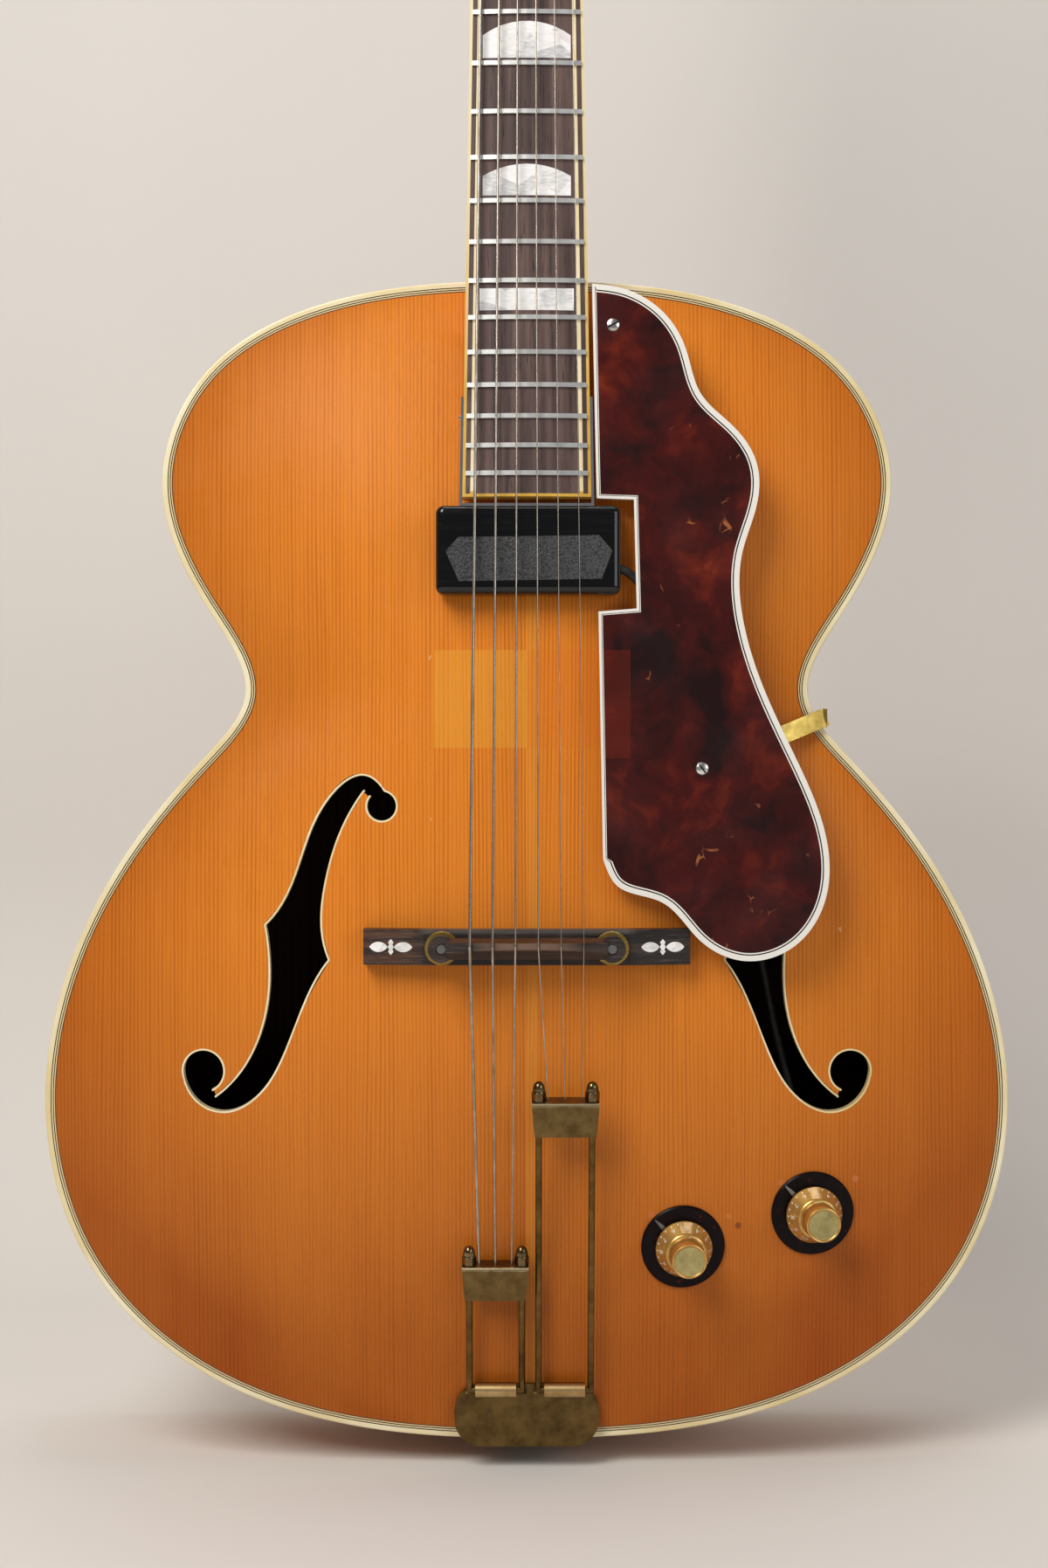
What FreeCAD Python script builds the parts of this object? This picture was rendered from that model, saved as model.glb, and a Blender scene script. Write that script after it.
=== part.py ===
"""An archtop guitar with a raised split tailpiece, built piece by piece.

Frame: X to the treble side, Y from the front to the back, Z from the tail to the headstock.
The origin is the seat of the end pin: centre line, outer face of the tail, middle of the rim's depth.
"""
import FreeCAD, Part
import Sketcher
import functools
import math
import os

V = FreeCAD.Vector
X_AXIS = V(1, 0, 0)
Y_AXIS = V(0, 1, 0)
Z_AXIS = V(0, 0, 1)

# Driving dimensions, in millimetres, degrees and counts
SIZES = {
    "body_length": 516, "lower_bout": 429, "lower_bout_height": 158, "waist_width": 251,
    "waist_height": 331, "upper_bout": 325, "upper_bout_height": 428.5,
    "rim_depth": 86, "rim_wall": 2.5, "plate_wall": 5, "top_arch": 20, "back_arch": 17,
    "binding_width": 2.5, "binding_drop": 7, "purfling_width": 2.4, "purfling_depth": 1.6,
    "lining_width": 6, "lining_height": 14, "block_width": 64, "head_block_depth": 46, "tail_block_depth": 22,
    "tone_bar_width": 8, "tone_bar_height": 15, "tone_bar_length": 330, "tone_bar_spacing": 68,
    "f_hole_length": 148.4, "f_hole_inset": 102, "f_hole_height": 221, "f_hole_rim": 0.8,
    "upper_eye_radius": 6.4, "lower_eye_radius": 9,
    "scale_length": 648, "saddle_height": 222.6, "string_rise": 46, "neck_angle": 3.5, "action": 5,
    "board_length": 454, "nut_width": 43, "board_end_width": 55.8, "board_wall": 6.5, "board_radius": 305,
    "board_binding": 1.3, "line_width": 1.6, "line_inset": 3.4, "inlay_depth": 1.2,
    "fret_count": 20, "fret_width": 2, "fret_rise": 1.1,
    "neck_depth": 15, "neck_heel_depth": 18, "heel_start": 44, "tenon_width": 26,
    "tenon_flare": 8, "tongue_wall": 3, "tenon_depth": 24, "cap_wall": 3,
    "nut_thickness": 5, "nut_rise": 2.2, "head_angle": 14, "head_length": 182, "head_wall": 14,
    "head_shoulder_width": 70, "head_top_width": 84, "veneer_wall": 1.5,
    "rod_radius": 2.4, "rod_length": 400, "rod_pocket": 26,
    "tuner_first": 42, "tuner_step": 42, "tuner_inset": 11, "post_radius": 3, "post_rise": 15,
    "gear_teeth": 14, "gear_radius": 4.5, "gear_wall": 3, "worm_radius": 2.6, "tooth_rise": 0.7,
    "tooth_gap": 0.4,
    "housing_width": 17, "housing_wall": 1.2, "key_radius": 1.5,
    "button_length": 13, "button_width": 16, "button_wall": 6, "bushing_radius": 4.6, "running_fit": 0.05,
    "nut_spread": 35.5, "saddle_spread": 48.5,
    "base_length": 142, "base_width": 15.4, "base_wall": 9, "stud_spacing": 73.2, "stud_radius": 2,
    "wheel_radius": 7.4, "wheel_wall": 2.8, "wheel_gap": 3.4, "saddle_lobe": 5.7, "saddle_bar": 9,
    "moving_gap": 0.3,
    "fork_spacing": 23, "fork_rod": 1.45, "fork_hinge_height": 24, "fork_bass_top": 82,
    "fork_treble_top": 155.5,
    "fork_centre": 15.2, "knuckle_radius": 3.4, "knuckle_length": 18,
    "anchor_width": 29, "anchor_height": 15.4, "anchor_depth": 9, "anchor_wall": 1.6,
    "acorn_radius": 3.15, "acorn_length": 8.5,
    "tail_plate_width": 64, "tail_plate_top": 26, "tail_plate_wall": 1.8, "tail_lift": 3.8,
    "string_gap": 0.5, "tail_tab_length": 52, "tail_tab_width": 34,
    "pin_radius": 6, "pin_flange": 8, "pin_length": 11, "jack_radius": 3.25, "jack_reach": 42,
    "guard_wall": 3.2, "bracket_width": 8, "bracket_wall": 1.6,
    "pickup_width": 80, "pickup_length": 38.5, "pickup_wall": 11.5, "pickup_bottom": 373.5,
    "pickup_corner": 3.5,
    "pickup_string_gap": 5, "pickup_skin": 2, "panel_wall": 1, "band_wall": 1.2, "band_gap": 2.6,
    "band_height": 9, "lead_radius": 1.9,
    "disc_radius": 18.5, "disc_wall": 1.5, "skirt_radius": 12.5, "knob_height": 18.5, "cap_radius": 7.75,
    "knob_gap": 1.2, "shaft_radius": 3, "pot_radius": 12, "pot_depth": 10, "tone_x": 68.8, "tone_z": 87.9,
    "volume_x": 126.4, "volume_z": 101.9, "screw_radius": 1.5, "screw_head": 3, "screw_length": 12,
}

doc = FreeCAD.newDocument("archtop_guitar")
sheet = doc.addObject("Spreadsheet::Sheet", "sizes")


class Size(float):
    """A number that remembers the sheet expression that it comes from."""

    def __new__(cls, value, text):
        size = float.__new__(cls, value)
        size.text = text
        return size

    def __add__(self, other):
        return Size(float(self) + float(other), f"({self.text} + {wording(other)})")

    def __radd__(self, other):
        return Size(float(other) + float(self), f"({wording(other)} + {self.text})")

    def __sub__(self, other):
        return Size(float(self) - float(other), f"({self.text} - {wording(other)})")

    def __rsub__(self, other):
        return Size(float(other) - float(self), f"({wording(other)} - {self.text})")

    def __mul__(self, other):
        return Size(float(self) * float(other), f"({self.text} * {wording(other)})")

    def __rmul__(self, other):
        return Size(float(other) * float(self), f"({wording(other)} * {self.text})")

    def __truediv__(self, other):
        return Size(float(self) / float(other), f"({self.text} / {wording(other)})")

    def __neg__(self):
        return Size(-float(self), f"(-{self.text})")


def wording(value):
    """The expression of a size, or the plain number."""
    return value.text if isinstance(value, Size) else repr(float(value))


def fill_sheet():
    """Puts each driving dimension in a cell of its own, with its name as alias."""
    for row, (name, value) in enumerate(SIZES.items(), start=1):
        sheet.set(f"A{row}", name)
        sheet.set(f"B{row}", str(value))
        sheet.setAlias(f"B{row}", name)
    doc.recompute()


fill_sheet()
size = {name: Size(float(sheet.get(name)), f"sizes.{name}") for name in SIZES}
num = {name: float(value) for name, value in size.items()}
PIECES = []


def bind(item, **properties):
    """Binds properties of a document object to the sheet."""
    for name, value in properties.items():
        if isinstance(value, Size):
            item.setExpression(name, value.text)
        else:
            setattr(item, name, value)
    return item


def keep(item, label):
    """Names a finished piece, which is written to its own file."""
    item.Label = label
    PIECES.append(item)
    return item


def feature(label, shape, placement=None):
    """A piece whose free form comes from solids worked out here."""
    item = doc.addObject("Part::Feature", label)
    item.Shape = shape
    if placement is not None:
        item.Placement = placement
    return keep(item, label)


def polygon_sketch(body, role, points):
    """A closed sketch of straight sides, each corner held by two bound distances."""
    sketch = body.newObject("Sketcher::SketchObject", body.Name + "_outline")
    plane = [part for part in body.Origin.OriginFeatures if part.Role == role][0]
    sketch.AttachmentSupport = (plane, [""])
    sketch.MapMode = "FlatFace"
    corners = [V(float(across), float(up), 0) for across, up in points]
    count = len(corners)
    for index in range(count):
        sketch.addGeometry(Part.LineSegment(corners[index], corners[(index + 1) % count]))
    for index in range(count):
        sketch.addConstraint(Sketcher.Constraint("Coincident", index, 2, (index + 1) % count, 1))
    for index, (across, up) in enumerate(points):
        for kind, value in (("DistanceX", across), ("DistanceY", up)):
            number = sketch.addConstraint(Sketcher.Constraint(kind, -1, 1, index, 1, float(value)))
            if isinstance(value, Size):
                sketch.setExpression(f"Constraints[{number}]", value.text)
    return sketch


def turned_body(name, points):
    """A body turned about its Z axis from a half section of (radius, height) corners."""
    body = doc.addObject("PartDesign::Body", name)
    sketch = polygon_sketch(body, "XZ_Plane", points)
    turn = body.newObject("PartDesign::Revolution", name + "_turn")
    turn.Profile = sketch
    turn.ReferenceAxis = (sketch, ["V_Axis"])
    turn.Angle = 360
    return body


def padded_body(name, role, points, depth, both_ways=False):
    """A body padded from a polygon on one of its origin planes."""
    body = doc.addObject("PartDesign::Body", name)
    sketch = polygon_sketch(body, role, points)
    pad = body.newObject("PartDesign::Pad", name + "_pad")
    pad.Profile = sketch
    pad.Midplane = both_ways
    bind(pad, Length=depth)
    return body


def solid_of(item):
    """The finished solid of a body or primitive, after a recompute."""
    doc.recompute()
    return item.Shape.copy()


def placed(shape, placement):
    """A copy of a solid moved to its place."""
    copy = shape.copy()
    copy.Placement = placement.multiply(copy.Placement)
    return copy


def group(label, shapes):
    """Separate solids of one kind that share a node."""
    return feature(label, Part.makeCompound(shapes))


def rod(start, end, radius):
    """A straight round rod between two points."""
    run = end - start
    return Part.makeCylinder(radius, run.Length, start, run)


def box(low, high):
    """A box between two corners."""
    return Part.makeBox(high.x - low.x, high.y - low.y, high.z - low.z, low)


# The body's outline and arching
def between(low, high, share):
    """A value part of the way from low to high."""
    return low + (high - low) * share


def half_outline():
    """Hand-chosen points of the treble half, from the tail to the neck, tied to the bouts and the waist."""
    lower = num["lower_bout"] / 2
    waist = num["waist_width"] / 2
    upper = num["upper_bout"] / 2
    low_z = num["lower_bout_height"]
    waist_z = num["waist_height"]
    up_z = num["upper_bout_height"]
    top_z = num["body_length"]
    points = [(0, 0)]
    points += [(lower * x, low_z * z) for x, z in
               ((0.312, 0.025), (0.657, 0.173), (0.904, 0.481), (1, 1))]
    points += [(between(lower, waist, x), between(low_z, waist_z, z)) for x, z in
               ((0.252, 0.462), (0.779, 0.832), (1, 1))]
    points += [(between(waist, upper, x), between(waist_z, up_z, z)) for x, z in
               ((0.439, 0.390), (1, 1))]
    points += [(upper * x, between(up_z, top_z, z)) for x, z in
               ((0.897, 0.497), (0.583, 0.869), (0.170, 0.993), (0, 1))]
    return points


def outline_wire():
    """The whole outline as one closed smooth curve in the plane of the rim's middle."""
    right = half_outline()
    left = [(-x, z) for x, z in reversed(right[1:-1])]
    curve = Part.BSplineCurve()
    curve.interpolate([V(x, 0, z) for x, z in right + left], PeriodicFlag=True)
    return Part.Wire(curve.toShape())


OUTLINE = outline_wire()
MID = num["rim_depth"] / 2
FAR = 300.0


OUTLINE_SAMPLES = 72


def inset_face(inset):
    """The outline drawn in by a constant width, along its own normals."""
    curve = OUTLINE.Edges[0].Curve
    first, last = curve.FirstParameter, curve.LastParameter
    points = []
    for index in range(OUTLINE_SAMPLES):
        spot = between(first, last, index / OUTLINE_SAMPLES)
        along = curve.tangent(spot)[0]
        points.append(curve.value(spot) + V(-along.z, 0, along.x) * inset)
    inner = Part.BSplineCurve()
    inner.interpolate(points, PeriodicFlag=True)
    return Part.Face(Part.Wire(inner.toShape()))


def outline_slab(inset, front, back):
    """A slab of the inset outline between two depths."""
    face = inset_face(inset)
    face.translate(V(0, front, 0))
    return face.extrude(V(0, back - front, 0))


def outline_ring(inset, width, front, back):
    """A ring that follows the outline, from one inset to a deeper one."""
    return outline_slab(inset, front, back).cut(outline_slab(inset + width, front - 1, back + 1))


def half_widths():
    """Sampled half widths of the outline by height."""
    samples = [point for point in OUTLINE.discretize(600) if point.x >= 0]
    return sorted((point.z, point.x) for point in samples)


WIDTHS = half_widths()


def half_width(z):
    """The half width of the outline at a height, between the nearest samples."""
    for (low, wide), (high, next_wide) in zip(WIDTHS, WIDTHS[1:]):
        if low <= z <= high and high > low:
            return between(wide, next_wide, (z - low) / (high - low))
    return 1.0


CROSS_POWER = 2.2
LENGTH_POWER = 3.0


def arch_share(x, z):
    """Arch height from 0 at the rim to 1 at the crown: a flat margin, then a smooth dome."""
    along = abs(2 * z / num["body_length"] - 1)
    across = abs(x) / half_width(z)
    if along >= 1 or across >= 1:
        return 0.0
    return (1 - across ** CROSS_POWER) ** 2 * (1 - along ** LENGTH_POWER) ** 1.4


GRID_ACROSS = 31
GRID_ALONG = 37


def arched_slab(rim_depth_at, rise, wall):
    """A slab of the plate's thickness whose outer face is the arch, rising by rise along Y."""
    half = num["lower_bout"] / 2 + 4
    length = num["body_length"]
    rows = []
    for i in range(GRID_ACROSS):
        x = between(-half, half, i / (GRID_ACROSS - 1))
        rows.append([V(x, rim_depth_at + rise * arch_share(x, between(-4, length + 4, j / (GRID_ALONG - 1))),
                       between(-4, length + 4, j / (GRID_ALONG - 1))) for j in range(GRID_ALONG)])
    surface = Part.BSplineSurface()
    surface.interpolate(rows)
    inward = -math.copysign(wall, rise)
    return surface.toShape().extrude(V(0, inward, 0))


def top_depth(x, z):
    """Depth of the top's outer face."""
    return -MID - num["top_arch"] * arch_share(x, z)


def top_normal(x, z):
    """Outward direction of the top's outer face."""
    step = 2.0
    slope_x = (top_depth(x + step, z) - top_depth(x - step, z)) / (2 * step)
    slope_z = (top_depth(x, z + step) - top_depth(x, z - step)) / (2 * step)
    return V(slope_x, -1, slope_z).normalize()


# F-holes
UPPER_EYE = (38.3, 60.9)
LOWER_EYE = (-41.1, -56.3)
# Outer edge, tail edge, then inner edge, each from one sharp point to the next
F_EDGES = [
    [(39.5, 67.2), (29.1, 74.3), (13.6, 62.4), (3.4, 39.8), (-6.9, 15.7), (-13.1, 8.4)],
    [(-13.1, 8.4), (-11, -11.5), (-13.6, -34.2), (-24.9, -57.8), (-35.7, -68.1)],
    [(-49.9, -58), (-48.1, -64), (-41.9, -71.2), (-32.1, -74.1), (-16.2, -66), (-4.9, -47.6), (3.3, -27),
        (14.7, -6.6)],
    [(14.7, -6.6), (11.4, 6.9), (13.1, 27.5), (20.8, 52.2), (30.3, 68.1)],
]
F_DRAWN_LENGTH = 148.4


def grown(points, grow):
    """Points of an edge moved outwards along the edge's own normals."""
    last = len(points) - 1
    moved = []
    for index, (x, z) in enumerate(points):
        before = points[max(index - 1, 0)]
        after = points[min(index + 1, last)]
        along = V(after[0] - before[0], 0, after[1] - before[1]).normalize()
        moved.append((x + along.z * -grow, z + along.x * grow))
    return moved


def f_hole_prism(grow):
    """One f-hole on the bass side as a cutter through the top, grown by the width of its rim."""
    scale = num["f_hole_length"] / F_DRAWN_LENGTH

    def spot(point):
        return V(-num["f_hole_inset"] + scale * point[0], -FAR / 2, num["f_hole_height"] + scale * point[1])

    runs = [grown(points, -grow / scale) for points in F_EDGES]
    corners = [runs[0][-1], runs[1][0], None, runs[1][-1], LOWER_EYE, runs[2][0], None,
               runs[2][-1], runs[3][0], None, runs[3][-1], UPPER_EYE, runs[0][0]]
    edges = []
    for points in runs:
        curve = Part.BSplineCurve()
        curve.interpolate([spot(point) for point in points])
        edges.append(curve.toShape())
    for start, end in zip(corners, corners[1:]):
        if start and end and start != end:
            edges.append(Part.makeLine(spot(start), spot(end)))
    stem = Part.Face(Part.Wire(Part.__sortEdges__(edges))).extrude(V(0, FAR / 2, 0))
    eyes = [Part.makeCylinder(radius + grow, FAR / 2, spot(centre), Y_AXIS) for centre, radius in
            ((UPPER_EYE, num["upper_eye_radius"]), (LOWER_EYE, num["lower_eye_radius"]))]
    return stem.fuse(eyes)


def f_hole_prisms(grow):
    """Both f-holes as cutters through the top."""
    bass = f_hole_prism(grow)
    return [bass, bass.mirror(V(0, 0, 0), X_AXIS)]


def build_plates(tenon):
    """Top with its f-holes and bindings, and the back."""
    edge = num["binding_width"]
    inside = outline_slab(edge, -FAR / 2, FAR / 2)
    blank = arched_slab(-MID, -num["top_arch"], num["plate_wall"]).common(inside)
    line_ring = outline_ring(edge, num["purfling_width"], -MID - 1, -MID + num["purfling_depth"])
    purfling = blank.common(line_ring)
    grown_holes = f_hole_prisms(num["f_hole_rim"])
    rims = [blank.common(wide).cut(hole) for wide, hole in zip(grown_holes, f_hole_prisms(0))]
    feature("top_plate", blank.cut(grown_holes + [line_ring, tenon] + control_holes()))
    feature("back_plate", arched_slab(MID, num["back_arch"], num["plate_wall"]).common(inside))
    group("f_hole_bindings", [solid for rim in rims for solid in rim.Solids])
    top_ring = outline_ring(0, edge, -MID, -MID + num["binding_drop"])
    back_ring = outline_ring(0, edge, MID - num["binding_drop"], MID)
    group("top_binding", top_ring.cut(tenon).Solids + purfling.cut(tenon).Solids)
    feature("back_binding", back_ring)
    return [top_ring, back_ring]


def build_rim(tenon, rings, pin_hole):
    """Two bent ribs, the linings and the two end blocks."""
    wall = num["plate_wall"]
    front, back = -MID + wall, MID - wall
    rib = outline_ring(0, num["rim_wall"], front, back).cut(rings + [tenon, pin_hole])
    halves = [rib.common(box(V(low, -FAR, -FAR), V(low + FAR, FAR, 3 * FAR))) for low in (-FAR, 0)]
    group("ribs", [solid for half in halves for solid in half.Solids])
    inner = outline_slab(num["rim_wall"], front, back)
    half = num["block_width"] / 2
    length = num["body_length"]
    head_room = box(V(-half, -FAR, length - num["head_block_depth"]), V(half, FAR, length))
    tail_room = box(V(-half, -FAR, 0), V(half, FAR, num["tail_block_depth"]))
    group("end_blocks", [inner.common(head_room).cut(tenon), inner.common(tail_room).cut(pin_hole)])
    strips = []
    for low in (front, back - num["lining_height"]):
        ring = outline_ring(num["rim_wall"], num["lining_width"], low, low + num["lining_height"])
        strips += ring.cut([head_room, tail_room]).Solids
    group("linings", strips)


def build_tone_bars():
    """Two bars glued along the inside of the top."""
    length = num["tone_bar_length"]
    low = num["saddle_height"] + (num["body_length"] / 2 - num["saddle_height"]) / 2 - length / 2
    bars = []
    for side in (-1, 1):
        centre = side * num["tone_bar_spacing"] / 2
        edge = centre - num["tone_bar_width"] / 2
        room = box(V(edge, -FAR / 2, low), V(edge + num["tone_bar_width"], FAR / 2, low + length))
        under = arched_slab(-MID, -num["top_arch"], num["tone_bar_height"])
        deep = under.common(room)
        deep.translate(V(0, num["plate_wall"], 0))
        bars.append(deep)
    group("tone_bars", bars)


# The neck's own frame: its origin is the nut's face on the board, Z runs up the neck, Y to the back
NECK_TURN = FreeCAD.Rotation(X_AXIS, -num["neck_angle"])
SADDLE_POINT = V(0, -MID - num["string_rise"], num["saddle_height"])
NECK = FreeCAD.Placement(
    SADDLE_POINT + NECK_TURN.multVec(V(0, num["action"], num["scale_length"])), NECK_TURN)
HEAD = NECK.multiply(FreeCAD.Placement(
    V(0, num["nut_rise"], num["nut_thickness"]), FreeCAD.Rotation(X_AXIS, -num["head_angle"])))


def fret_at(number):
    """Distance of a fret below the nut."""
    return -num["scale_length"] * (1 - 2 ** (-number / 12))


def board_half(z):
    """Half width of the board at a place below the nut."""
    return between(num["nut_width"], num["board_end_width"], -z / num["board_length"]) / 2


def board_prism(inset, low, high, front, back):
    """A slice of the board's taper, drawn in at both sides."""
    corners = [V(board_half(low) - inset, front, low), V(board_half(high) - inset, front, high)]
    corners += [V(-point.x, point.y, point.z) for point in reversed(corners)]
    wire = Part.makePolygon(corners + corners[:1])
    return Part.Face(wire).extrude(V(0, back - front, 0))


def crown(rise):
    """The round of the board's playing face, raised by rise, as a long cylinder."""
    radius = num["board_radius"] + rise
    return Part.makeCylinder(radius, FAR * 3, V(0, num["board_radius"], -FAR * 2), Z_AXIS)


def arched_block(width, height, low):
    """The outline of an inlay with a flat foot and a low arched head."""
    half = width / 2
    shoulder = low + 0.62 * height
    arc = Part.Arc(V(half, 0, shoulder), V(0, 0, low + height), V(-half, 0, shoulder)).toShape()
    sides = [Part.makeLine(V(-half, 0, shoulder), V(-half, 0, low)),
        Part.makeLine(V(-half, 0, low), V(half, 0, low)),
             Part.makeLine(V(half, 0, low), V(half, 0, shoulder))]
    return Part.Face(Part.Wire([arc] + sides))


# Fret, width and height of each pearl inlay
INLAYS = [(1, 28, 20), (3, 33, 19), (5, 35, 18), (7, 37, 17), (9, 38.5, 16.5), (12, 38.5, 14)]
LAST_INLAY = (15, 41, 9.7)
INLAY_FOOT = 2.5


def inlay_prisms():
    """Seven pearl inlays, as prisms through the board's face."""
    prisms = []
    for fret, width, height in INLAYS:
        face = arched_block(width, height, fret_at(fret) + INLAY_FOOT)
        prisms.append(face)
    fret, width, height = LAST_INLAY
    low = (fret_at(fret) + fret_at(fret - 1) - height) / 2
    corners = [V(-width / 2, 0, low), V(width / 2, 0, low), V(width / 2, 0, low + height),
        V(-width / 2, 0, low + height)]
    prisms.append(Part.Face(Part.makePolygon(corners + corners[:1])))
    front = -1.0
    for face in prisms:
        face.translate(V(0, front, 0))
    return [face.extrude(V(0, num["inlay_depth"] + 1 - front, 0)) for face in prisms]


def build_board():
    """Fretboard, its bindings and lines, frets and inlays, in the neck's frame."""
    low = -num["board_length"]
    wall = num["board_wall"]
    skin = num["board_binding"]
    depth = num["inlay_depth"]
    round_face = crown(0)
    cellar = crown(-depth)
    blank = board_prism(0, low, 0, 0, wall).common(round_face)
    core = blank.common(board_prism(skin, low + skin, 0, 0, wall))
    binding = blank.cut(core)
    inset = num["line_inset"]
    inner = board_prism(inset + num["line_width"], low, 1, 0, wall)
    strip = board_prism(inset, low + skin, 0, 0, wall).cut(inner)
    lines = strip.common(round_face).cut(cellar)
    prisms = inlay_prisms()
    pearls = [prism.common(round_face).cut(cellar) for prism in prisms]
    feature("fretboard", core.cut([lines] + pearls), NECK)
    group("fretboard_binding", binding.Solids + lines.Solids).Placement = NECK
    ring = crown(num["fret_rise"])
    frets = []
    for number in range(1, int(num["fret_count"]) + 1):
        z = fret_at(number)
        half = num["fret_width"] / 2
        bar = board_prism(skin, z - half, z + half, -num["fret_rise"], wall)
        frets.append(bar.common(ring).cut(round_face))
    group("frets", frets).Placement = NECK
    return [placed(pearl, NECK) for pearl in pearls]


def neck_section(z, half, depth, top):
    """A flat-topped half ellipse across the neck."""
    angles = [math.pi * step / 8 for step in range(9)]
    points = [V(half * math.cos(a), top + depth * math.sin(a), z) for a in angles]
    curve = Part.BSplineCurve()
    curve.interpolate(points)
    return Part.Wire([curve.toShape(), Part.makeLine(points[-1], points[0])])


def build_neck(space):
    """Shaft, heel, raised tongue and the wedge under it, fitted to the body."""
    top = num["board_wall"]
    joint = (num["body_length"] - NECK.Base.z) / math.cos(math.radians(num["neck_angle"]))
    start = joint + num["heel_start"]
    slim = num["neck_heel_depth"]
    deep = num["rim_depth"] + num["string_rise"] / 2
    shaft = Part.makeLoft([neck_section(0, num["nut_width"] / 2, num["neck_depth"], top),
                           neck_section(start, board_half(start), slim, top)], True, True)
    steps = [(0, slim), (-16, slim * 1.4), (-27, slim * 2.8), (-35, deep), (-num["heel_start"] - 12, deep)]
    heel = Part.makeLoft([neck_section(start + z, board_half(start), depth, top) for z, depth in steps],
        True, False)
    tongue = board_prism(0, -num["board_length"], start, top, top + num["tongue_wall"])
    wedge = board_prism(0, joint - num["tenon_depth"], joint + 2, top, top + num["string_rise"] / 2)
    return shaft.fuse([heel, tongue, wedge]).cut(placed(space, NECK.inverse()))


def head_outline():
    """Half outline of the headstock, from the nut up."""
    neck_half = num["nut_width"] / 2
    shoulder = num["head_shoulder_width"] / 2
    crest = num["head_top_width"] / 2
    length = num["head_length"]
    return [(neck_half, 0), (neck_half + 1, 8), (shoulder, 30), (crest, length - 18),
        (crest - 10, length - 2),
            (crest * 0.4, length - 6), (0, length)]


def head_slab(front, back):
    """The headstock's outline as a slab, in the head's frame."""
    half = head_outline()
    corners = [V(x, front, z) for x, z in half]
    curve = Part.BSplineCurve()
    curve.interpolate(corners[3:])
    mirror = Part.BSplineCurve()
    mirror.interpolate([V(-point.x, point.y, point.z) for point in corners[3:]])
    side = Part.BSplineCurve()
    side.interpolate(corners[:3])
    other = Part.BSplineCurve()
    other.interpolate([V(-point.x, point.y, point.z) for point in corners[:3]])
    left = [V(-point.x, point.y, point.z) for point in corners]
    edges = [side.toShape(), Part.makeLine(corners[2], corners[3]), curve.toShape(), mirror.toShape(),
             Part.makeLine(left[2], left[3]), other.toShape(), Part.makeLine(left[0], corners[0])]
    return Part.Face(Part.Wire(Part.__sortEdges__(edges))).extrude(V(0, back - front, 0))


def body_space():
    """The whole space of the body behind the top's arch."""
    depth = num["rim_depth"] + num["top_arch"]
    return arched_slab(-MID, -num["top_arch"], depth).common(outline_slab(0, -FAR / 2, FAR / 2))


def tenon_solid():
    """The dovetail that holds the neck in the head block."""
    half = num["tenon_width"] / 2
    length = num["body_length"]
    inner = length - num["tenon_depth"]
    corners = [V(-half, -MID - 6, length + 4), V(half, -MID - 6, length + 4),
               V(half + num["tenon_flare"] / 2, -MID - 6, inner),
               V(-half - num["tenon_flare"] / 2, -MID - 6, inner)]
    face = Part.Face(Part.makePolygon(corners + corners[:1]))
    return face.extrude(V(0, num["rim_depth"] - num["plate_wall"] * 2, 0))


# Tuning machines, each in a frame on the back of the head: X out to the button, Y away from the wood
def tuner_frames():
    """Frames of the machines, the bass side from the nut up, then the treble side."""
    frames = []
    for side in (-1, 1):
        for index in range(3):
            z = num["tuner_first"] + index * num["tuner_step"]
            rise = (z - 30) / (num["head_length"] - 48)
            edge = between(num["head_shoulder_width"], num["head_top_width"], rise) / 2
            turn = FreeCAD.Rotation(Y_AXIS, 180 if side < 0 else 0)
            spot = V(side * (edge - num["tuner_inset"]), num["head_wall"], z)
            frames.append(HEAD.multiply(FreeCAD.Placement(spot, turn)))
    return frames


TUNERS = tuner_frames()
WORM_AWAY = num["gear_radius"] + num["worm_radius"]
GEAR_DEPTH = num["worm_radius"] + num["tooth_rise"] + num["tooth_gap"] * 2
PITCH = 2 * math.pi * num["gear_radius"] / num["gear_teeth"]
TOOTH_SHARE = 0.15


def gear_post():
    """A string post with its gear."""
    tip = num["gear_radius"] + num["tooth_rise"]
    root = num["gear_radius"] - num["tooth_rise"] - num["tooth_gap"]
    step = 2 * math.pi / num["gear_teeth"]
    corners = []
    for tooth in range(int(num["gear_teeth"])):
        middle = math.pi / 2 + (tooth + 0.5) * step
        for radius, share in ((root, -1.5), (tip, -0.7), (tip, 0.7), (root, 1.5)):
            angle = middle + share * TOOTH_SHARE * step
            corners.append(V(radius * math.cos(angle), GEAR_DEPTH - num["gear_wall"] / 2,
                radius * math.sin(angle)))
    gear = Part.Face(Part.makePolygon(corners + corners[:1])).extrude(V(0, num["gear_wall"], 0))
    front = -num["head_wall"] - num["post_rise"]
    post = Part.makeCylinder(num["post_radius"], GEAR_DEPTH + num["gear_wall"] - front, V(0, front, 0),
        Y_AXIS)
    hole = Part.makeCylinder(0.9, 20, V(-10, front + 4, 0), X_AXIS)
    return gear.fuse(post).cut(hole)


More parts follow.
